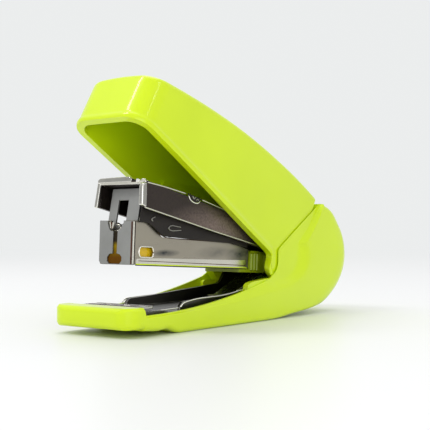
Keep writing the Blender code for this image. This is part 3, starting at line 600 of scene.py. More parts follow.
def handle_surface(inset, lift, lip, radius):
    """One face of the cover, from its lip up the wall, round the edge and over to the spine.

    The plan is a U with round corners. Along it every line starts on the lower rim, climbs the
    wall, turns through a quarter circle and runs straight to the spine, on the height
    crest(s) + crown * (1 - (y / half) ** 2), where the crown rises from 0 at the back to 1 mm.
    """
    front = FRONT_S + inset
    half = HANDLE_HALF - inset
    corner = 5.2 - 0.75 * inset
    side_s = CREST_S + (front + corner - CREST_S) * np.linspace(0.0, 1.0, 110)
    turn = np.linspace(0.0, math.pi / 2, 16)[1:]
    arc_s = front + corner - corner * np.sin(turn)
    arc_y = -(half - corner) - corner * np.cos(turn)
    face_y = np.linspace(-(half - corner), 0.0, 12)[1:]
    plan_s = np.concatenate([side_s, arc_s, np.full(len(face_y), front)])
    narrow = 0.5 * np.clip((side_s + 55.0) / 35.0, 0.0, 1.0) ** 1.3
    plan_y = np.concatenate([-half + narrow, arc_y, face_y])
    normal_s = np.concatenate([np.zeros(len(side_s)), -np.sin(turn), np.full(len(face_y), -1.0)])
    normal_y = np.concatenate([np.full(len(side_s), -1.0), -np.cos(turn), np.zeros(len(face_y))])
    # lower rim: the lobe's round and a small hollow, then level
    rim_s, rim_n = plan_s.copy(), np.full(len(plan_s), LOW)
    rise = 0.4 * inset
    lobe = rounded_path([(CREST_S, rise - 13.0), (-4.5, rise - 12.6, 3.0),
                         (LOBE_FRONT + 0.3, rise - 11.4, 1.6), (LOBE_FRONT - 0.3, LOW, 1.4),
                         (LOBE_BACK, LOW)])
    count = int(np.sum(side_s > LOBE_BACK))
    rim_s[:count], rim_n[:count] = resample(lobe, count).T
    s, ns, rs, rn = (np.concatenate([half_line, half_line[-2::-1]])
                     for half_line in (plan_s, normal_s, rim_s, rim_n))
    y, ny = (np.concatenate([half_line, -half_line[-2::-1]]) for half_line in (plan_y, normal_y))
    spine_s = np.maximum(s, front + ROOF_END)

    def height(ps, py):
        """Top of the cover over a place of its plan."""
        crown = np.minimum(1.0, (CREST_S - ps) / 40.0)
        return crest(ps) - lift + crown * (1.0 - (py / half) ** 2)

    edge_n = height(s - ns * radius, y - ny * radius)
    lines = []
    wall_from = rn + lip
    for t in np.array([0.0, 0.12, 0.3, 0.5, 0.7, 0.88, 1.0]):
        bulge = 0.22 * math.sin(math.pi * t) if inset == 0.0 else 0.0
        lines.append((rs + ns * bulge, y + ny * bulge, rn + lip * t))
    for t in np.linspace(0.0, 1.0, 22)[1:]:
        lines.append((rs + (s - rs) * smoothstep(0.0, 0.5, t), y,
                      wall_from + (edge_n - radius - wall_from) * t))
    for angle in np.linspace(0.0, math.pi / 2, 8)[1:]:
        reach = radius * (1.0 - math.cos(angle))
        lines.append((s - ns * reach, y - ny * reach, edge_n - radius * (1.0 - math.sin(angle))))
    top_s, top_y = s - ns * radius, y - ny * radius
    for t in np.linspace(0.0, 1.0, 14)[1:]:
        ps = top_s + (spine_s - top_s) * t
        py = top_y * (1.0 - t)
        lines.append((ps, py, height(ps, py)))
    return np.array(lines).transpose(2, 0, 1)


class STAPLER_OT_handle(bpy.types.Operator):
    """Makes the hollow cover of the handle, its tongue and the inner lever"""
    bl_idname = "stapler.handle"
    bl_label = "Handle"

    def execute(self, context):
        values = settings()
        outer = handle_surface(0.0, 0.0, values.lip, values.edge)
        inner = handle_surface(COVER_WALL, ROOF_WALL, values.lip, INNER_EDGE)
        cover = solid("handle_cover", to_row("handle", *outer.transpose(2, 0, 1)),
                      to_row("handle", *inner.transpose(2, 0, 1)), "handle", "lime_plastic",
                      paint("lime"), spine=True, smooth_angle=40.0)
        soften(cover, 0.45, angle=50.0, name="lip_round")
        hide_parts("handle_shell")
        self.tongue()
        dressed("handle_lever", "inner_lever", "handle", "lime_plastic", paint("lime"), 0.05)
        return {"FINISHED"}

    def tongue(self):
        """The curved tongue under the roof: an arc about the hinge, carried across the handle."""
        turn = np.radians(np.linspace(*TONGUE_TURN, 30))[:, None]
        y = np.linspace(-TONGUE_HALF, TONGUE_HALF, 9)[None, :]
        faces = [to_row("handle", radius * np.cos(turn), y, radius * np.sin(turn))
                 for radius in TONGUE_RADII]
        solid("handle_tongue", *faces, "handle", "lime_plastic", paint("lime"))


# ---- base

HALF = (CAD_BOX[1][1] - CAD_BOX[0][1]) / MM / 2
WALL, HUMP_WALL, PAD_WALL = 1.2, 1.5, 2.0
PAD_BACK = 5.7      # back of the pad at the front
CHEEK_FOOT, CHEEK_FRONT = 53.5, 57.9
HUMP_A, HUMP_B, HUMP_Z = 18.6, 14.1, 16.0
HUMP_X = LENGTH - HUMP_A
TRAY_FLOOR = 3.6
NOSE = 3.8      # depth of the pad's rounded corners in plan
GUIDE_BLOCKS = (
    ("near", -10.7, -9.3, [(43.9, 3.3), (43.9, 9.3, 1.2), (46.1, 9.9, 1.0), (54.6, 10.6, 1.2),
                           (54.6, 3.3)]),
    ("far", 9.3, 10.7, [(52.0, 3.3), (52.0, 9.5, 1.3), (61.4, 9.2, 1.6), (62.7, 7.3, 1.0),
                        (62.7, 3.3)]),
)


def wall_top(x):
    """Height of the side wall: it grows with the square of the distance from the pad."""
    return 4.5 + 5.9 * ((x - PAD_BACK) / (CHEEK_FOOT - PAD_BACK)) ** 2


def hump_arc(start, end, shrink=0.0, steps=40):
    """Part of the hump's ellipse, between two angles in degrees."""
    turn = np.radians(np.linspace(start, end, steps))
    return np.stack([HUMP_X + (HUMP_A - shrink) * np.cos(turn),
                     HUMP_Z + (HUMP_B - shrink) * np.sin(turn)], axis=1)


def join(*paths):
    """Paths end to end."""
    return np.concatenate([np.array(path, float) for path in paths])


def base_curves():
    """Four curves in the side view, matched point by point.

    They are the rim of the opening, the soft ridge beside it, the outline underneath and behind,
    and the inner outline. Each stretch between two stations has the same number of points on all
    four.
    """
    pad = np.concatenate([NOSE * (1.0 - np.cos(np.linspace(0.0, math.pi / 2, 12))),
                          np.linspace(4.0, 5.2, 6)])
    nose = 1.2 * (1.0 - np.sqrt(1.0 - np.clip(1.0 - pad / 1.2, 0.0, 1.0) ** 2))
    level = np.where(pad < 4.9, 6.3 - nose, 4.0)
    heights = (6.3 - nose, 5.6 - 0.6 * nose, 1.7 + nose, level)
    x = np.linspace(PAD_BACK, CHEEK_FOOT, 60)
    ridge = [(PAD_BACK, 3.9), (24.0, 4.4, 8.0), (41.0, 5.6, 8.0), (58.0, 7.3)]
    foot = [(PAD_BACK, 1.3), (10.5, 0.9, 1.5), (13.0, 1.3, 1.0), (16.5, 0.0, 1.5),
            (57.0, 0.0, 4.0), (62.0, 0.6)]
    tray = [(PAD_BACK, TRAY_FLOOR), (60.0, TRAY_FLOOR)]
    stretches = [[np.stack([pad, z], axis=1) for z in heights],
                 [np.stack([x, wall_top(x)], axis=1), resample(rounded_path(ridge, 8), len(x)),
                  resample(rounded_path(foot), len(x)), resample(rounded_path(tray), len(x))]]
    parts = (
        (34, rounded_path([(CHEEK_FOOT, wall_top(CHEEK_FOOT)), (CHEEK_FRONT, 12.6, 2.6),
                           (CHEEK_FRONT, 17.0)], 12),
         rounded_path([(58.0, 7.3), (66.0, 8.9, 3.0), (71.8, 12.6, 2.6), (72.3, 16.2)], 8),
         join([(62.0, 0.6)], hump_arc(-81.0, -18.0)),
         join([(60.0, TRAY_FLOOR), (66.0, TRAY_FLOOR)], hump_arc(-78.0, -18.0, HUMP_WALL))),
        (12, rounded_path([(CHEEK_FRONT, 17.0), (58.1, 17.7, 0.5), (60.0, 18.9)]),
         rounded_path([(72.3, 16.2), (71.9, 18.0, 0.9), (70.6, 19.3)]),
         hump_arc(-18.0, 4.0), hump_arc(-18.0, 4.0, HUMP_WALL)),
        (44, join([(60.0, 18.9), (78.6, 29.85)]),
         rounded_path([(70.6, 19.3), (76.2, 24.9, 3.0), (79.2, 29.6)], 10),
         hump_arc(4.0, 80.0), hump_arc(4.0, 80.0, HUMP_WALL)))
    stretches += [[resample(path, count + 1)[1:] for path in paths] for count, *paths in parts]
    return [np.concatenate(curve) for curve in zip(*stretches)]


def base_surface(rim, ridge, outline, inset, rim_inset, radius):
    """One face of the moulding, from the near rim down, across underneath and up to the far rim.

    A line runs straight from rim to ridge to outline, turns there through a quarter ellipse and
    goes level across: point = outline line, y = half - radius * (1 - cos).
    """
    half = HALF - inset
    fold = 0.7 * smoothstep(50.0, 60.0, rim[:, 0])
    rows = []
    for t in np.linspace(0.0, 1.0, 21)[:-1]:
        rows.append((rim + (ridge - rim) * t, half - rim_inset * (1.0 - smoothstep(fold, 1.0, t))))
    away = outline - ridge
    length = np.linalg.norm(away, axis=1)
    reach = np.minimum(radius, 0.8 * length) / np.maximum(length, 0.001)
    start = outline - away * reach[:, None]
    for t in np.linspace(0.0, 1.0, 8)[:-1]:
        rows.append((ridge + (start - ridge) * t, np.full(len(rim), half)))
    for angle in np.linspace(0.0, math.pi / 2, 9):
        rows.append((start + (outline - start) * math.sin(angle),
                     half - radius * (1.0 - math.cos(angle))))
    side = np.array([np.column_stack([place[:, 0], np.broadcast_to(y, len(rim)), place[:, 1]])
                     for place, y in rows])
    across = side[-1][None] * np.ones((7, 1, 1))
    across[:, :, 1] = side[-1][None, :, 1] * np.linspace(1.0, -1.0, 9)[1:-1, None]
    points = np.concatenate([side, across, side[::-1] * np.array([1.0, -1.0, 1.0])])
    points[:, :, 1] *= -1.0
    drop = NOSE * (1.0 - np.sqrt(1.0 - np.clip(1.0 - points[:, :, 0] / NOSE, 0.0, 1.0) ** 2))
    points[:, :, 1] *= 1.0 - drop / HALF
    return points.transpose(1, 0, 2)


class STAPLER_OT_base(bpy.types.Operator):
    """Makes the base moulding with its pad, tray, cheeks and hump, and the guide blocks"""
    bl_idname = "stapler.base"
    bl_label = "Base"

    def execute(self, context):
        rim, ridge, outline, inner = base_curves()
        x = outline[:, 0]
        back = smoothstep(70.0, 90.0, x) * smoothstep(-1.0, 6.0, outline[:, 1] + 3.0)
        top = smoothstep(24.0, 30.0, outline[:, 1])
        radius = 1.2 + 4.2 * back - 2.4 * back * top
        rim_inset = 0.6 + 0.55 * smoothstep(50.0, 60.0, rim[:, 0])
        outer = base_surface(rim, ridge, outline, 0.0, rim_inset, radius)
        wall = np.where(rim[:, 0] < PAD_BACK, PAD_WALL, WALL)
        middle = rim + (inner - rim) * 0.5
        inner_face = base_surface(rim, middle, inner, wall, 0.0, np.full(len(rim), 0.4))
        body = solid("base_body", to_row("base", *outer.transpose(2, 0, 1)),
                     to_row("base", *inner_face.transpose(2, 0, 1)), "base", "lime_plastic",
                     paint("lime"), smooth_angle=14.0)
        soften(body, 0.3, angle=50.0, name="rim_round")
        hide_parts("base_shell")
        for label, low, high, knots in GUIDE_BLOCKS:
            plate(f"guide_block_{label}", knots, low, high, "base", "base", "lime_plastic", paint("lime"),
                  steps=10)
        return {"FINISHED"}


# ---- stage

BACKDROP = (0.835, 0.850, 0.850, 1.0)
MELT = (0.15, 0.85)             # the floor melts into it between these distances, in metres
SKY, DARK = (0.97, 0.98, 1.0), (0.0, 0.0, 0.0)
SKY_STRENGTH = 0.87
SUN_STRENGTH, SUN_ANGLE, SUN_AIM = 0.70, 40.0, (-0.30, -0.20, -1.0)
LAMPS = (
    # name, place, aim, size, power; lengths in metres
    ("nose_box", (-0.245, 0.200, 0.462), (-0.045, -0.006, 0.045), (0.075, 0.24), 0.75),
    ("side_box", (-0.020, -0.418, 0.340), (-0.042, -0.010, 0.045), (0.014, 0.20), 0.11),
    ("front_fill", (-0.45, -0.50, 0.12), (-0.01, 0.0, 0.02), (0.5, 0.35), 0.95),
)
LENS = 75.24
EYE = (-136.294, -136.148, 22.16)     # from the front of the base, in millimetres
EYE_TURN = (91.078, 0.0, -53.083)


class STAPLER_OT_stage(bpy.types.Operator):
    """Makes the floor, the lamps, the pale world and the camera"""
    bl_idname = "stapler.stage"
    bl_label = "Stage"

    def execute(self, context):
        scene = context.scene
        scene.view_settings.view_transform = "Standard"
        self.floor()
        self.world(scene)
        self.lamps(scene)
        self.camera(scene)
        return {"FINISHED"}

    def floor(self):
        """A large flat floor of smooth pale card."""
        size = settings().floor_size
        u = np.linspace(-size, size, 5)
        x, y = np.meshgrid(u, u, indexing="ij")
        points = np.stack([x, y, np.zeros_like(x)], axis=-1)
        mesh = bpy.data.meshes.new("floor")
        mesh.from_pydata(points.reshape(-1, 3).tolist(), [], grid_faces(5, 5)[:, ::-1].tolist())
        floor = bpy.data.objects.new("floor", mesh)
        bpy.context.scene.collection.objects.link(floor)
        mesh.materials.append(self.card())

    def card(self):
        """Pale card that melts, as seen by the camera, into the backdrop far behind the stapler."""
        made = Finish("floor_card", 0.4)
        cloud = made.range(made.noise(3.0), 0.0, 1.0)
        made.colour(made.mix(cloud, (0.80, 0.80, 0.795), (0.82, 0.82, 0.81)))
        far = made.range(made.distance(made.place), 0.0, 1.0, MELT)
        far.node.interpolation_type = "SMOOTHSTEP"
        seen = made.node("ShaderNodeEmission")
        seen.inputs["Color"].default_value = BACKDROP
        path = made.node("ShaderNodeLightPath")
        made.surface(made.both("MULTIPLY", far, path.outputs["Is Camera Ray"]), made.shader, seen,
                     "Material Output")
        return made.material

    def world(self, scene):
        """A pale sky, brighter overhead; the camera and mirrors see the backdrop's grey."""
        world = bpy.data.worlds.new("studio")
        world.use_nodes = True
        graph = Graph(world.node_tree)
        sky = graph.tree.nodes["Background"]
        sky.inputs["Strength"].default_value = SKY_STRENGTH
        height = graph.node("ShaderNodeSeparateXYZ")
        graph.link(graph.node("ShaderNodeTexCoord").outputs["Generated"], height.inputs[0])
        overhead = graph.range(height.outputs["Z"], 0.60, 1.0, (0.0, 0.55))
        graph.link(graph.mix(overhead, DARK, SKY), sky.inputs["Color"])
        seen = graph.node("ShaderNodeBackground")
        seen.inputs["Color"].default_value = BACKDROP
        path = graph.node("ShaderNodeLightPath")
        mirrored = graph.both("MAXIMUM", path.outputs["Is Glossy Ray"], path.outputs["Is Transmission Ray"])
        either = graph.both("MAXIMUM", mirrored, path.outputs["Is Camera Ray"])
        graph.surface(either, sky, seen, "World Output")
        scene.world = world

    def lamps(self, scene):
        """A very soft sun from above, two narrow boxes that leave lines on the gloss, and a low fill."""
        sun = bpy.data.lights.new("soft_sun", "SUN")
        sun.energy = SUN_STRENGTH
        sun.angle = math.radians(SUN_ANGLE)
        self.hang(scene, sun, (0.0, 0.0, 0.0), SUN_AIM)
        for name, place, aim, size, power in LAMPS:
            lamp = bpy.data.lights.new(name, "AREA")
            lamp.shape = "RECTANGLE"
            lamp.size, lamp.size_y = size
            lamp.energy = power
            self.hang(scene, lamp, place, aim)

    def hang(self, scene, lamp, place, aim):
        """Puts a lamp at a place, turned towards its aim."""
        holder = bpy.data.objects.new(lamp.name, lamp)
        holder.location = place
        holder.rotation_euler = (Vector(aim) - Vector(place)).to_track_quat("-Z", "Y").to_euler()
        scene.collection.objects.link(holder)

    def camera(self, scene):
        """A long lens low beside the front, looking along the stapler."""
        eye = bpy.data.cameras.new("camera")
        eye.lens = LENS
        eye.clip_start = 0.01
        holder = bpy.data.objects.new("camera", eye)
        x, y, z = EYE
        holder.location = ((FRONT + x) * MM, y * MM, z * MM)
        holder.rotation_euler = [math.radians(turn) for turn in EYE_TURN]
        scene.collection.objects.link(holder)
        scene.camera = holder


# ---- driver arm

ARM = ("arm", "arm", "satin_steel")      # group, body and slot
ARM_FRONT = (
    # name, outline in (y, n), low and high s, finish, bevel, edge
    # the cream and bright pieces and edges are painted highlights; the dark notch is painted shade
    ("arm_top_lip", [(7.2, 5.1), (7.25, 5.75, 0.25), (6.6, 6.15, 0.4), (-2.1, 6.3, 0.2), (-2.9, 5.9, 0.3),
     (-2.9, 5.15)], -70.3, -69.7, "grey", 0.08, "bright"),
    ("arm_top_band", [(6.4, 5.15), (-6.3, 5.1), (-6.3, 4.5), (6.4, 4.6)], -70.2, -69.8, "cream", 0.05,
     "bright"),
    ("arm_lip_notch", [(-2.95, 5.0), (-2.95, 5.85), (-4.4, 5.5), (-4.4, 5.0)], -70.25, -69.7, "shade", 0.05,
     "umber"),
    ("arm_lip_bit_far", [(-4.5, 4.9), (-4.5, 5.75, 0.2), (-5.5, 5.55, 0.2), (-5.5, 4.9)], -70.5, -69.8,
     "bright", 0.08, "bright"),
    ("arm_lip_bit_near", [(-5.9, 4.9), (-6.0, 5.75, 0.3), (-7.1, 5.6, 0.4), (-7.25, 4.9)], -70.4, -69.7,
     "cream", 0.08, "bright"),
    ("arm_wall_end_far", [(7.3, 5.2), (7.3, -0.6), (6.4, -0.6), (6.4, 4.9)], -70.2, -69.7, "grey", 0.12,
     "bright"),
)
ARM_WALL = -7.2      # the near wall, across
WALL_EDGES = (
    [(-69.9, -0.55), (-43.4, -0.40), (-22.6, 0.05)],
    [(-69.9, 4.95), (-64.0, 5.45, 3.0), (-56.0, 5.8)],
    [(-50.0, 5.8), (-38.5, 5.6)],
)
WALL_END = [(-70.4, -0.26), (-71.1, 3.81), (-70.9, 4.6), (-69.8, 4.9), (-69.68, 4.23), (-68.6, -0.43)]
LEAF_TOP = [(-27.0, 2.6), (-68.8, 2.6)]
# the leaf's lower edge and its tabs are given in the magazine's plane
LEAF_BELOW = [(-68.4, 7.45), (-65.3, 7.35), (-64.0, 6.7), (-61.5, 5.2), (-60.0, 4.65), (-45.4, 4.3),
              (-33.8, 4.1), (-27.5, 3.2)]
LEAF_TABS = (
    [(-63.5, 8.9), (-64.6, 8.45), (-64.8, 8.2), (-64.3, 7.75)],
    [(-58.6, 7.0), (-57.6, 7.25), (-54.3, 7.0)],
    [(-58.6, 6.2), (-57.4, 6.05), (-54.2, 6.35)],
    [(-58.5, 6.95), (-58.9, 6.6), (-58.5, 6.2)],
)
LUG_POCKET = [(-55.5, 6.0), (-54.6, 4.8, 0.5), (-53.0, 4.35, 0.8), (-51.4, 4.6, 0.7), (-50.4, 5.9)]
LUG_HOOKS = (
    [(-53.9, 5.9), (-53.2, 5.2, 0.3), (-52.6, 5.9)],
    [(-52.4, 5.0), (-52.0, 5.6, 0.3), (-51.4, 5.3)],
)
WINDOW_HALF, WINDOW_SHIFT = 2.2, 0.65      # the blade's window, and how far it moves across
OUTER_HALF, OUTER_SHIFT = 3.5, 0.2      # the same for its far edge


class STAPLER_OT_arm(bpy.types.Operator):
    """Makes the driver arm with its lips, side lug and inner leaf, and the forked blade"""
    bl_idname = "stapler.arm"
    bl_label = "Driver arm"

    def execute(self, context):
        # the arm's broken edges are painted near-white as highlights
        dressed("driver_arm", *ARM, paint("steel"), 0.2, edge=paint("bright"))
        self.fork()
        self.lips()
        self.leaf()
        self.lug()
        return {"FINISHED"}

    def fork(self):
        """The blade: the CAD shape with finely broken edges and its window a little to the far side."""
        blade = dressed("driver_blade", "blade", "arm", "satin_steel", paint("blade"), 0.05)
        places = np.empty(len(blade.data.vertices) * 3)
        blade.data.vertices.foreach_get("co", places)
        places = places.reshape(-1, 3)
        across = places[:, 1] / MM
        shift = np.where(np.abs(across) < WINDOW_HALF, WINDOW_SHIFT,
                         np.where(across > OUTER_HALF, OUTER_SHIFT, 0.0))
        places[:, 1] += shift * MM
        blade.data.vertices.foreach_set("co", places.ravel())
        blade.data.update()

    def lips(self):
        """The arm's front: its top lip, the band beneath it, and the ends of its two walls, with painted
        highlights and a notch of painted shade; painted highlights also run along the near wall's edges.
        """
        for name, outline, low, high, finish, bevel, edge in ARM_FRONT:
            plate(name, outline, low, high, *ARM, paint(finish), bevel, "s", paint(edge))
        for number, knots in enumerate(WALL_EDGES):
            wire(f"arm_wall_edge_{number}", knots, ARM_WALL, 0.2, *ARM, "cream", 30)
        plate("arm_wall_end_near", WALL_END, -7.3, -6.2, *ARM, paint("grey"), 0.22, "y", paint("bright"))

    def leaf(self):
        """A dark leaf on the arm in painted shade, closing the gap down to the magazine, and its tabs."""
        turn = math.radians(TILTS["arm"] - TILTS["magazine"])
        s, n = np.array(LEAF_BELOW).T
        below = np.stack([s * math.cos(turn) - n * math.sin(turn),
                          s * math.sin(turn) + n * math.cos(turn)], axis=1)
        # the leaf is painted near-black, as the shade in the gap
        plate("arm_inner_leaf", join(below, LEAF_TOP), -5.9, -5.6, *ARM, paint("shade"))
        for number, knots in enumerate(LEAF_TABS):
            wire(f"leaf_tab_{number}", knots, -5.98, 0.13, "magazine", *ARM[1:], "grey", 16)

    def lug(self):
        """The lanced lug in the near wall's upper edge: a rim of painted highlight round a pocket of painted
        shade.
        """
        pocket = rounded_path(LUG_POCKET, 8)
        plate("lug_pocket", pocket, -7.36, -7.0, *ARM, paint("shade"))
        tube("lug_rim", to_row("arm", pocket[:, 0], -7.28, pocket[:, 1]), 0.16 * MM, *ARM[1:],
             paint("bright"))
        for number, knots in enumerate(LUG_HOOKS):
            wire(f"lug_hook_{number}", knots, -7.3, 0.17, *ARM, "grey", 12)


# ---- magazine

MAGAZINE = ("magazine", "magazine", "nickel_steel")
MAG_SIDE = -5.2
FRONT_PARTS = (
    # name, outline in (y, n), low and high s from the front, finish, bevel, edge
    # the front plate's edges are painted with shade round the slit and mouth
    ("front_plate", [(5.15, 7.75), (2.75, 7.7), (2.4, 6.4), (1.9, 5.6), (0.93, 5.35), (0.95, 0.45),
     (1.94, 0.32), (2.55, -0.4), (2.55, -1.2), (1.97, -1.75), (-1.07, -1.75), (-1.7, -1.13),
     (-1.68, -0.25), (-1.1, 0.27), (-0.22, 0.45), (-0.3, 5.45), (-1.35, 6.1), (-1.6, 6.9),
     (-2.0, 7.15), (-2.0, 7.7), (-5.1, 7.65), (-5.15, -1.95), (4.1, -1.95), (4.65, -1.75),
     (5.05, -1.2)], 0.0, 0.3, "blade", 0.05, "shade"),
    # a plate behind the slit and mouth, painted as the yellow pusher in shade
    ("painted_pusher_shade", [(2.6, 0.6), (1.0, 0.6), (1.0, 5.5), (-0.4, 5.5), (-0.4, 0.6), (-1.75, 0.6),
     (-1.75, -1.85), (2.6, -1.85)], 0.25, 0.45, "pusher_shade", 0.0, "umber"),
    # the bend's dark line and pale edge are painted shade and a painted highlight
    ("bend_line", [(-4.35, 7.5), (-4.75, 7.5), (-4.75, -1.8), (-4.35, -1.8)], -0.06, 0.2, "umber", 0.0,
     "umber"),
    ("bend_edge", [(-4.9, 7.5), (-5.2, 7.5), (-5.2, -1.8), (-4.9, -1.8)], -0.08, 0.2, "cream", 0.05, "cream"),
    # the bowl's pale and dark pieces are painted highlights and painted shade
    ("bowl_piece_0", [(2.35, 7.45), (2.0, 7.45), (1.75, 5.9), (2.1, 6.1)], 0.1, 0.25, "cream", 0.03, "cream"),
    ("bowl_piece_1", [(1.95, 7.4), (1.5, 7.3), (1.55, 6.0), (1.75, 5.9)], 0.1, 0.25, "umber", 0.03, "umber"),
    ("bowl_piece_2", [(1.4, 7.35), (0.85, 7.3), (1.25, 6.0), (1.55, 6.0)], 0.1, 0.25, "cream", 0.03, "cream"),
)
BOWL_ARC = [(0.6, 7.2), (-0.6, 7.1, 0.5), (-1.3, 6.5, 0.5), (-0.7, 5.9, 0.4), (0.9, 5.6)]
FOOT_PARTS = (
    # name, outline in (s, n), low and high y, finish
    # a pale band of painted highlight, a thin line of painted shade along it, the lime of the base painted on
    # the bend as its reflection, and painted shadow under it
    ("foot_band", [(-68.6, -1.7), (-68.6, -0.6, 0.3), (-66.9, -0.5), (-62.0, -0.3, 2.0), (-27.0, 0.1),
     (-27.0, -1.75)], -5.26, -5.1, "cream"),
    ("foot_line", [(-67.8, -0.95), (-67.8, -1.09), (-27.2, -1.3), (-27.2, -1.12)], -5.29, MAG_SIDE, "umber"),
    ("foot_bend", [(-68.6, -1.62), (-26.7, -1.7), (-26.7, -1.92), (-68.6, -1.86)], -5.3, -5.0, "lime"),
    ("foot_under", [(-68.6, -1.86), (-26.7, -1.92), (-26.7, -2.2), (-68.6, -2.08)], -5.28, -5.0, "shade"),
)
# two dark lines of painted shade along the shoulder's fold
SHOULDER_LINES = (
    [(-61.9, 5.9), (-59.9, 5.35, 1.2), (-58.2, 4.95, 0.8), (-52.0, 4.9, 2.0), (-34.5, 4.62)],
    [(-62.0, 5.7), (-59.4, 4.45, 1.4), (-53.7, 4.32, 2.0), (-34.0, 4.3)],
)
WINDOW = (-65.35, 0.95)      # middle of the side window
RIBS = (-24.9, -23.6, -22.3)


class STAPLER_OT_magazine(bpy.types.Operator):
    """Makes the magazine: channel, carriage in painted shade, front plate, the pusher painted in shade behind
    it, window rim, foot and shoulder lines
    """
    bl_idname = "stapler.magazine"
    bl_label = "Magazine"

    def execute(self, context):
        dressed("magazine_channel", "channel", "magazine", "nickel_steel", paint("channel"))
        # the carriage is painted in darker lime, as the shade it sits in
        dressed("magazine_carriage", "carriage", "magazine", "lime_plastic", paint("shaded_lime"), 0.3)
        self.front()
        self.side()
        # its ribs carry the same painted shade
        for number, s in enumerate(RIBS):
            wire(f"carriage_rib_{number}", [(s, 2.2), (s, -2.7)], -5.35, 0.45, "magazine", "magazine",
                 "lime_plastic", "shaded_lime", 14)
        return {"FINISHED"}

    def front(self):
        """The front plate with its bowl, slit and mouth, with painted shade on its edges and painted
        highlights and shade on its bend and bowl, and behind them a plate painted as the yellow pusher in
        shade.
        """
        for name, outline, low, high, finish, bevel, edge in FRONT_PARTS:
            plate(name, outline, MAG_FRONT + low, MAG_FRONT + high, *MAGAZINE, paint(finish), bevel, "s",
                  paint(edge))
        arc = rounded_path(BOWL_ARC, 8)
        # a wire of painted shade round the bowl, and a painted highlight below it
        for number, (shift, finish) in enumerate(((0.0, "shade"), (-0.28, "cream"))):
            tube(f"bowl_wire_{number}", to_row("magazine", MAG_FRONT + 0.15, arc[:, 0], arc[:, 1] + shift),
                 0.15 * MM, *MAGAZINE[1:], paint(finish))

    def side(self):
        """The rim of the side window in painted highlight, the foot's bands of painted highlight, reflection
        and shadow, and the double line of painted shade along the shoulder.
        """
        turn = np.linspace(0.0, 2 * math.pi, 48)
        level = np.clip(1.6 * np.cos(turn), -1.0, 1.0)
        rim = np.stack([WINDOW[0] + 1.1 * level + 1.3 * np.cos(turn),
                        WINDOW[1] + 1.18 * np.clip(1.25 * np.sin(turn), -1.0, 1.0)], axis=1)
        # the window's rim is painted near-white as its highlight
        wire("window_rim", rim, MAG_SIDE - 0.02, 0.17, *MAGAZINE, "bright", 60)
        for name, outline, low, high, finish in FOOT_PARTS:
            plate(name, outline, low, high, *MAGAZINE, paint(finish))
        for number, knots in enumerate(SHOULDER_LINES):
            wire(f"shoulder_line_{number}", knots, MAG_SIDE + 0.02, 0.1, *MAGAZINE, "umber", 60)


# ---- the rest of the CAD

DRESSED = (
    # node, name, body, slot, finish, width, edge
    # the tray's broken edges are painted near-white as highlights
    ("base_frame", "tray", "base", "satin_steel", "frame", 0.3, "bright"),
    ("anvil_plate", "anvil", "base", "nickel_steel", "anvil", None, None),
    ("staple_rail", "rail", "magazine", "nickel_steel", "nickel", None, None),
    ("pusher", "follower_block", "follower", "yellow_plastic", "yellow", None, None),
)
# near-white wires painted along the flange edges, the leaf's edge and the tray's fold as their highlights
BASE_WIRES = (
    # name, y, knots in (s, n)
    ("flange_edge_near", -9.15, [(19.7, 5.0), (20.6, 6.2, 0.8), (25.1, 6.9, 3.0), (36.6, 7.05, 3.0),
                                 (46.0, 8.3)]),
    ("flange_edge_far", 9.15, [(20.4, 5.4), (21.6, 6.4, 0.8), (40.3, 6.95, 3.0), (52.0, 7.3)]),
    ("leaf_edge", -3.1, [(49.7, 7.1), (55.9, 9.2, 2.0), (59.6, 10.6, 1.5), (62.5, 11.0)]),
    ("tray_fold", -9.0, [(8.4, 5.0), (9.6, 4.75, 0.8), (12.5, 5.1, 0.8), (19.5, 5.2)]),
)
# dark lines painted across the anvil as the shade in its grooves
ANVIL_LINES = (7.3, 8.3, 10.9)
ANVIL_TOP = 6.08
PLAIN = {"pusher_rod": "spring", "lift_rivet": "nickel", "blade_rivet": "nickel", "main_pin": "nickel",
         "handle_stub_near": "nickel", "handle_stub_far": "nickel", "press_pin": "nickel"}


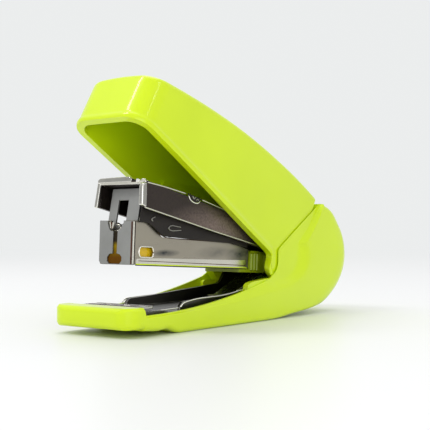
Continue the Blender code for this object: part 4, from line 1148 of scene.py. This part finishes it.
class STAPLER_OT_metal(bpy.types.Operator):
    """Dresses the base's pressed steel, the springs, the pins and the pusher"""
    bl_idname = "stapler.metal"
    bl_label = "Metal parts"

    def execute(self, context):
        for node, name, body, slot, finish, width, edge in DRESSED:
            dressed(node, name, body, slot, paint(finish), width, paint(edge) if edge else None)
        for name, y, knots in BASE_WIRES:
            wire(name, knots, y, 0.17, "base", "base", "satin_steel", "bright", 40, 8)
        for number, x in enumerate(ANVIL_LINES):
            line = [(x, ANVIL_TOP), (x, ANVIL_TOP + 0.06), (x + 0.3, ANVIL_TOP + 0.06), (x + 0.3, ANVIL_TOP)]
            plate(f"anvil_line_{number}", line, -8.0, 8.0, "base", "base", "nickel_steel", paint("umber"))
        self.springs()
        for node, finish in PLAIN.items():
            for place in frame["nodes"][node].material_slots:
                place.material = paint(finish)
        return {"FINISHED"}

    def springs(self):
        """The three springs as dressed copies without broken edges, each with a mesh of its own, and the lift
        spring's leaf edge with a mesh of its own.
        """
        tilt = math.radians(TILTS["arm"])
        for node, name, body, joint, axis, anchor, keep in (
                ("lift_spring", "lift_leaf", "base", "magazine_hinge", (0.0, 0.0, 1.0),
                 tuple(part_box("lift_spring")[0]), 0.5),
                ("return_spring", "return_leaf", "arm", "arm_hinge", (math.sin(tilt), 0.0, math.cos(tilt)),
                 tuple(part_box("return_spring")[1]), 0.25),
                ("pusher_spring", "pusher_coil", "magazine", "pusher_slide",
                 tuple(JOINTS["pusher_slide"]["axis"]), tuple(to_row("magazine", -27.6, 0.0, 0.0)), 0.25)):
            piece = dressed(node, name, body, "satin_steel", paint("spring"))
            piece.modifiers.clear()
            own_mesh(piece)
            if node == "lift_spring":
                edge = bpy.data.objects["leaf_edge"]
                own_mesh(edge)


OPERATORS = (STAPLER_OT_stage, STAPLER_OT_base, STAPLER_OT_handle, STAPLER_OT_arm, STAPLER_OT_magazine,
             STAPLER_OT_metal)


class STAPLER_PT_panel(bpy.types.Panel):
    """Lists the pieces in the sidebar"""
    bl_idname = "STAPLER_PT_panel"
    bl_label = "Stapler"
    bl_space_type = "VIEW_3D"
    bl_region_type = "UI"
    bl_category = "Stapler"

    def draw(self, context):
        for name in StaplerSettings.__annotations__:
            self.layout.prop(context.scene.stapler, name)
        for operator in OPERATORS:
            self.layout.operator(operator.bl_idname)


CLASSES = (StaplerSettings,) + OPERATORS + (STAPLER_PT_panel,)


def register():
    """Adds the classes and the settings."""
    for cls in CLASSES:
        bpy.utils.register_class(cls)
    bpy.types.Scene.stapler = bpy.props.PointerProperty(type=StaplerSettings)


def unregister():
    """Takes the settings and the classes away again."""
    del bpy.types.Scene.stapler
    for cls in reversed(CLASSES):
        bpy.utils.unregister_class(cls)


def main():
    """Adds the classes and builds the stapler."""
    register()
    for operator in OPERATORS:
        group, name = operator.bl_idname.split(".")
        getattr(getattr(bpy.ops, group), name)()


if __name__ == "__main__":
    main()
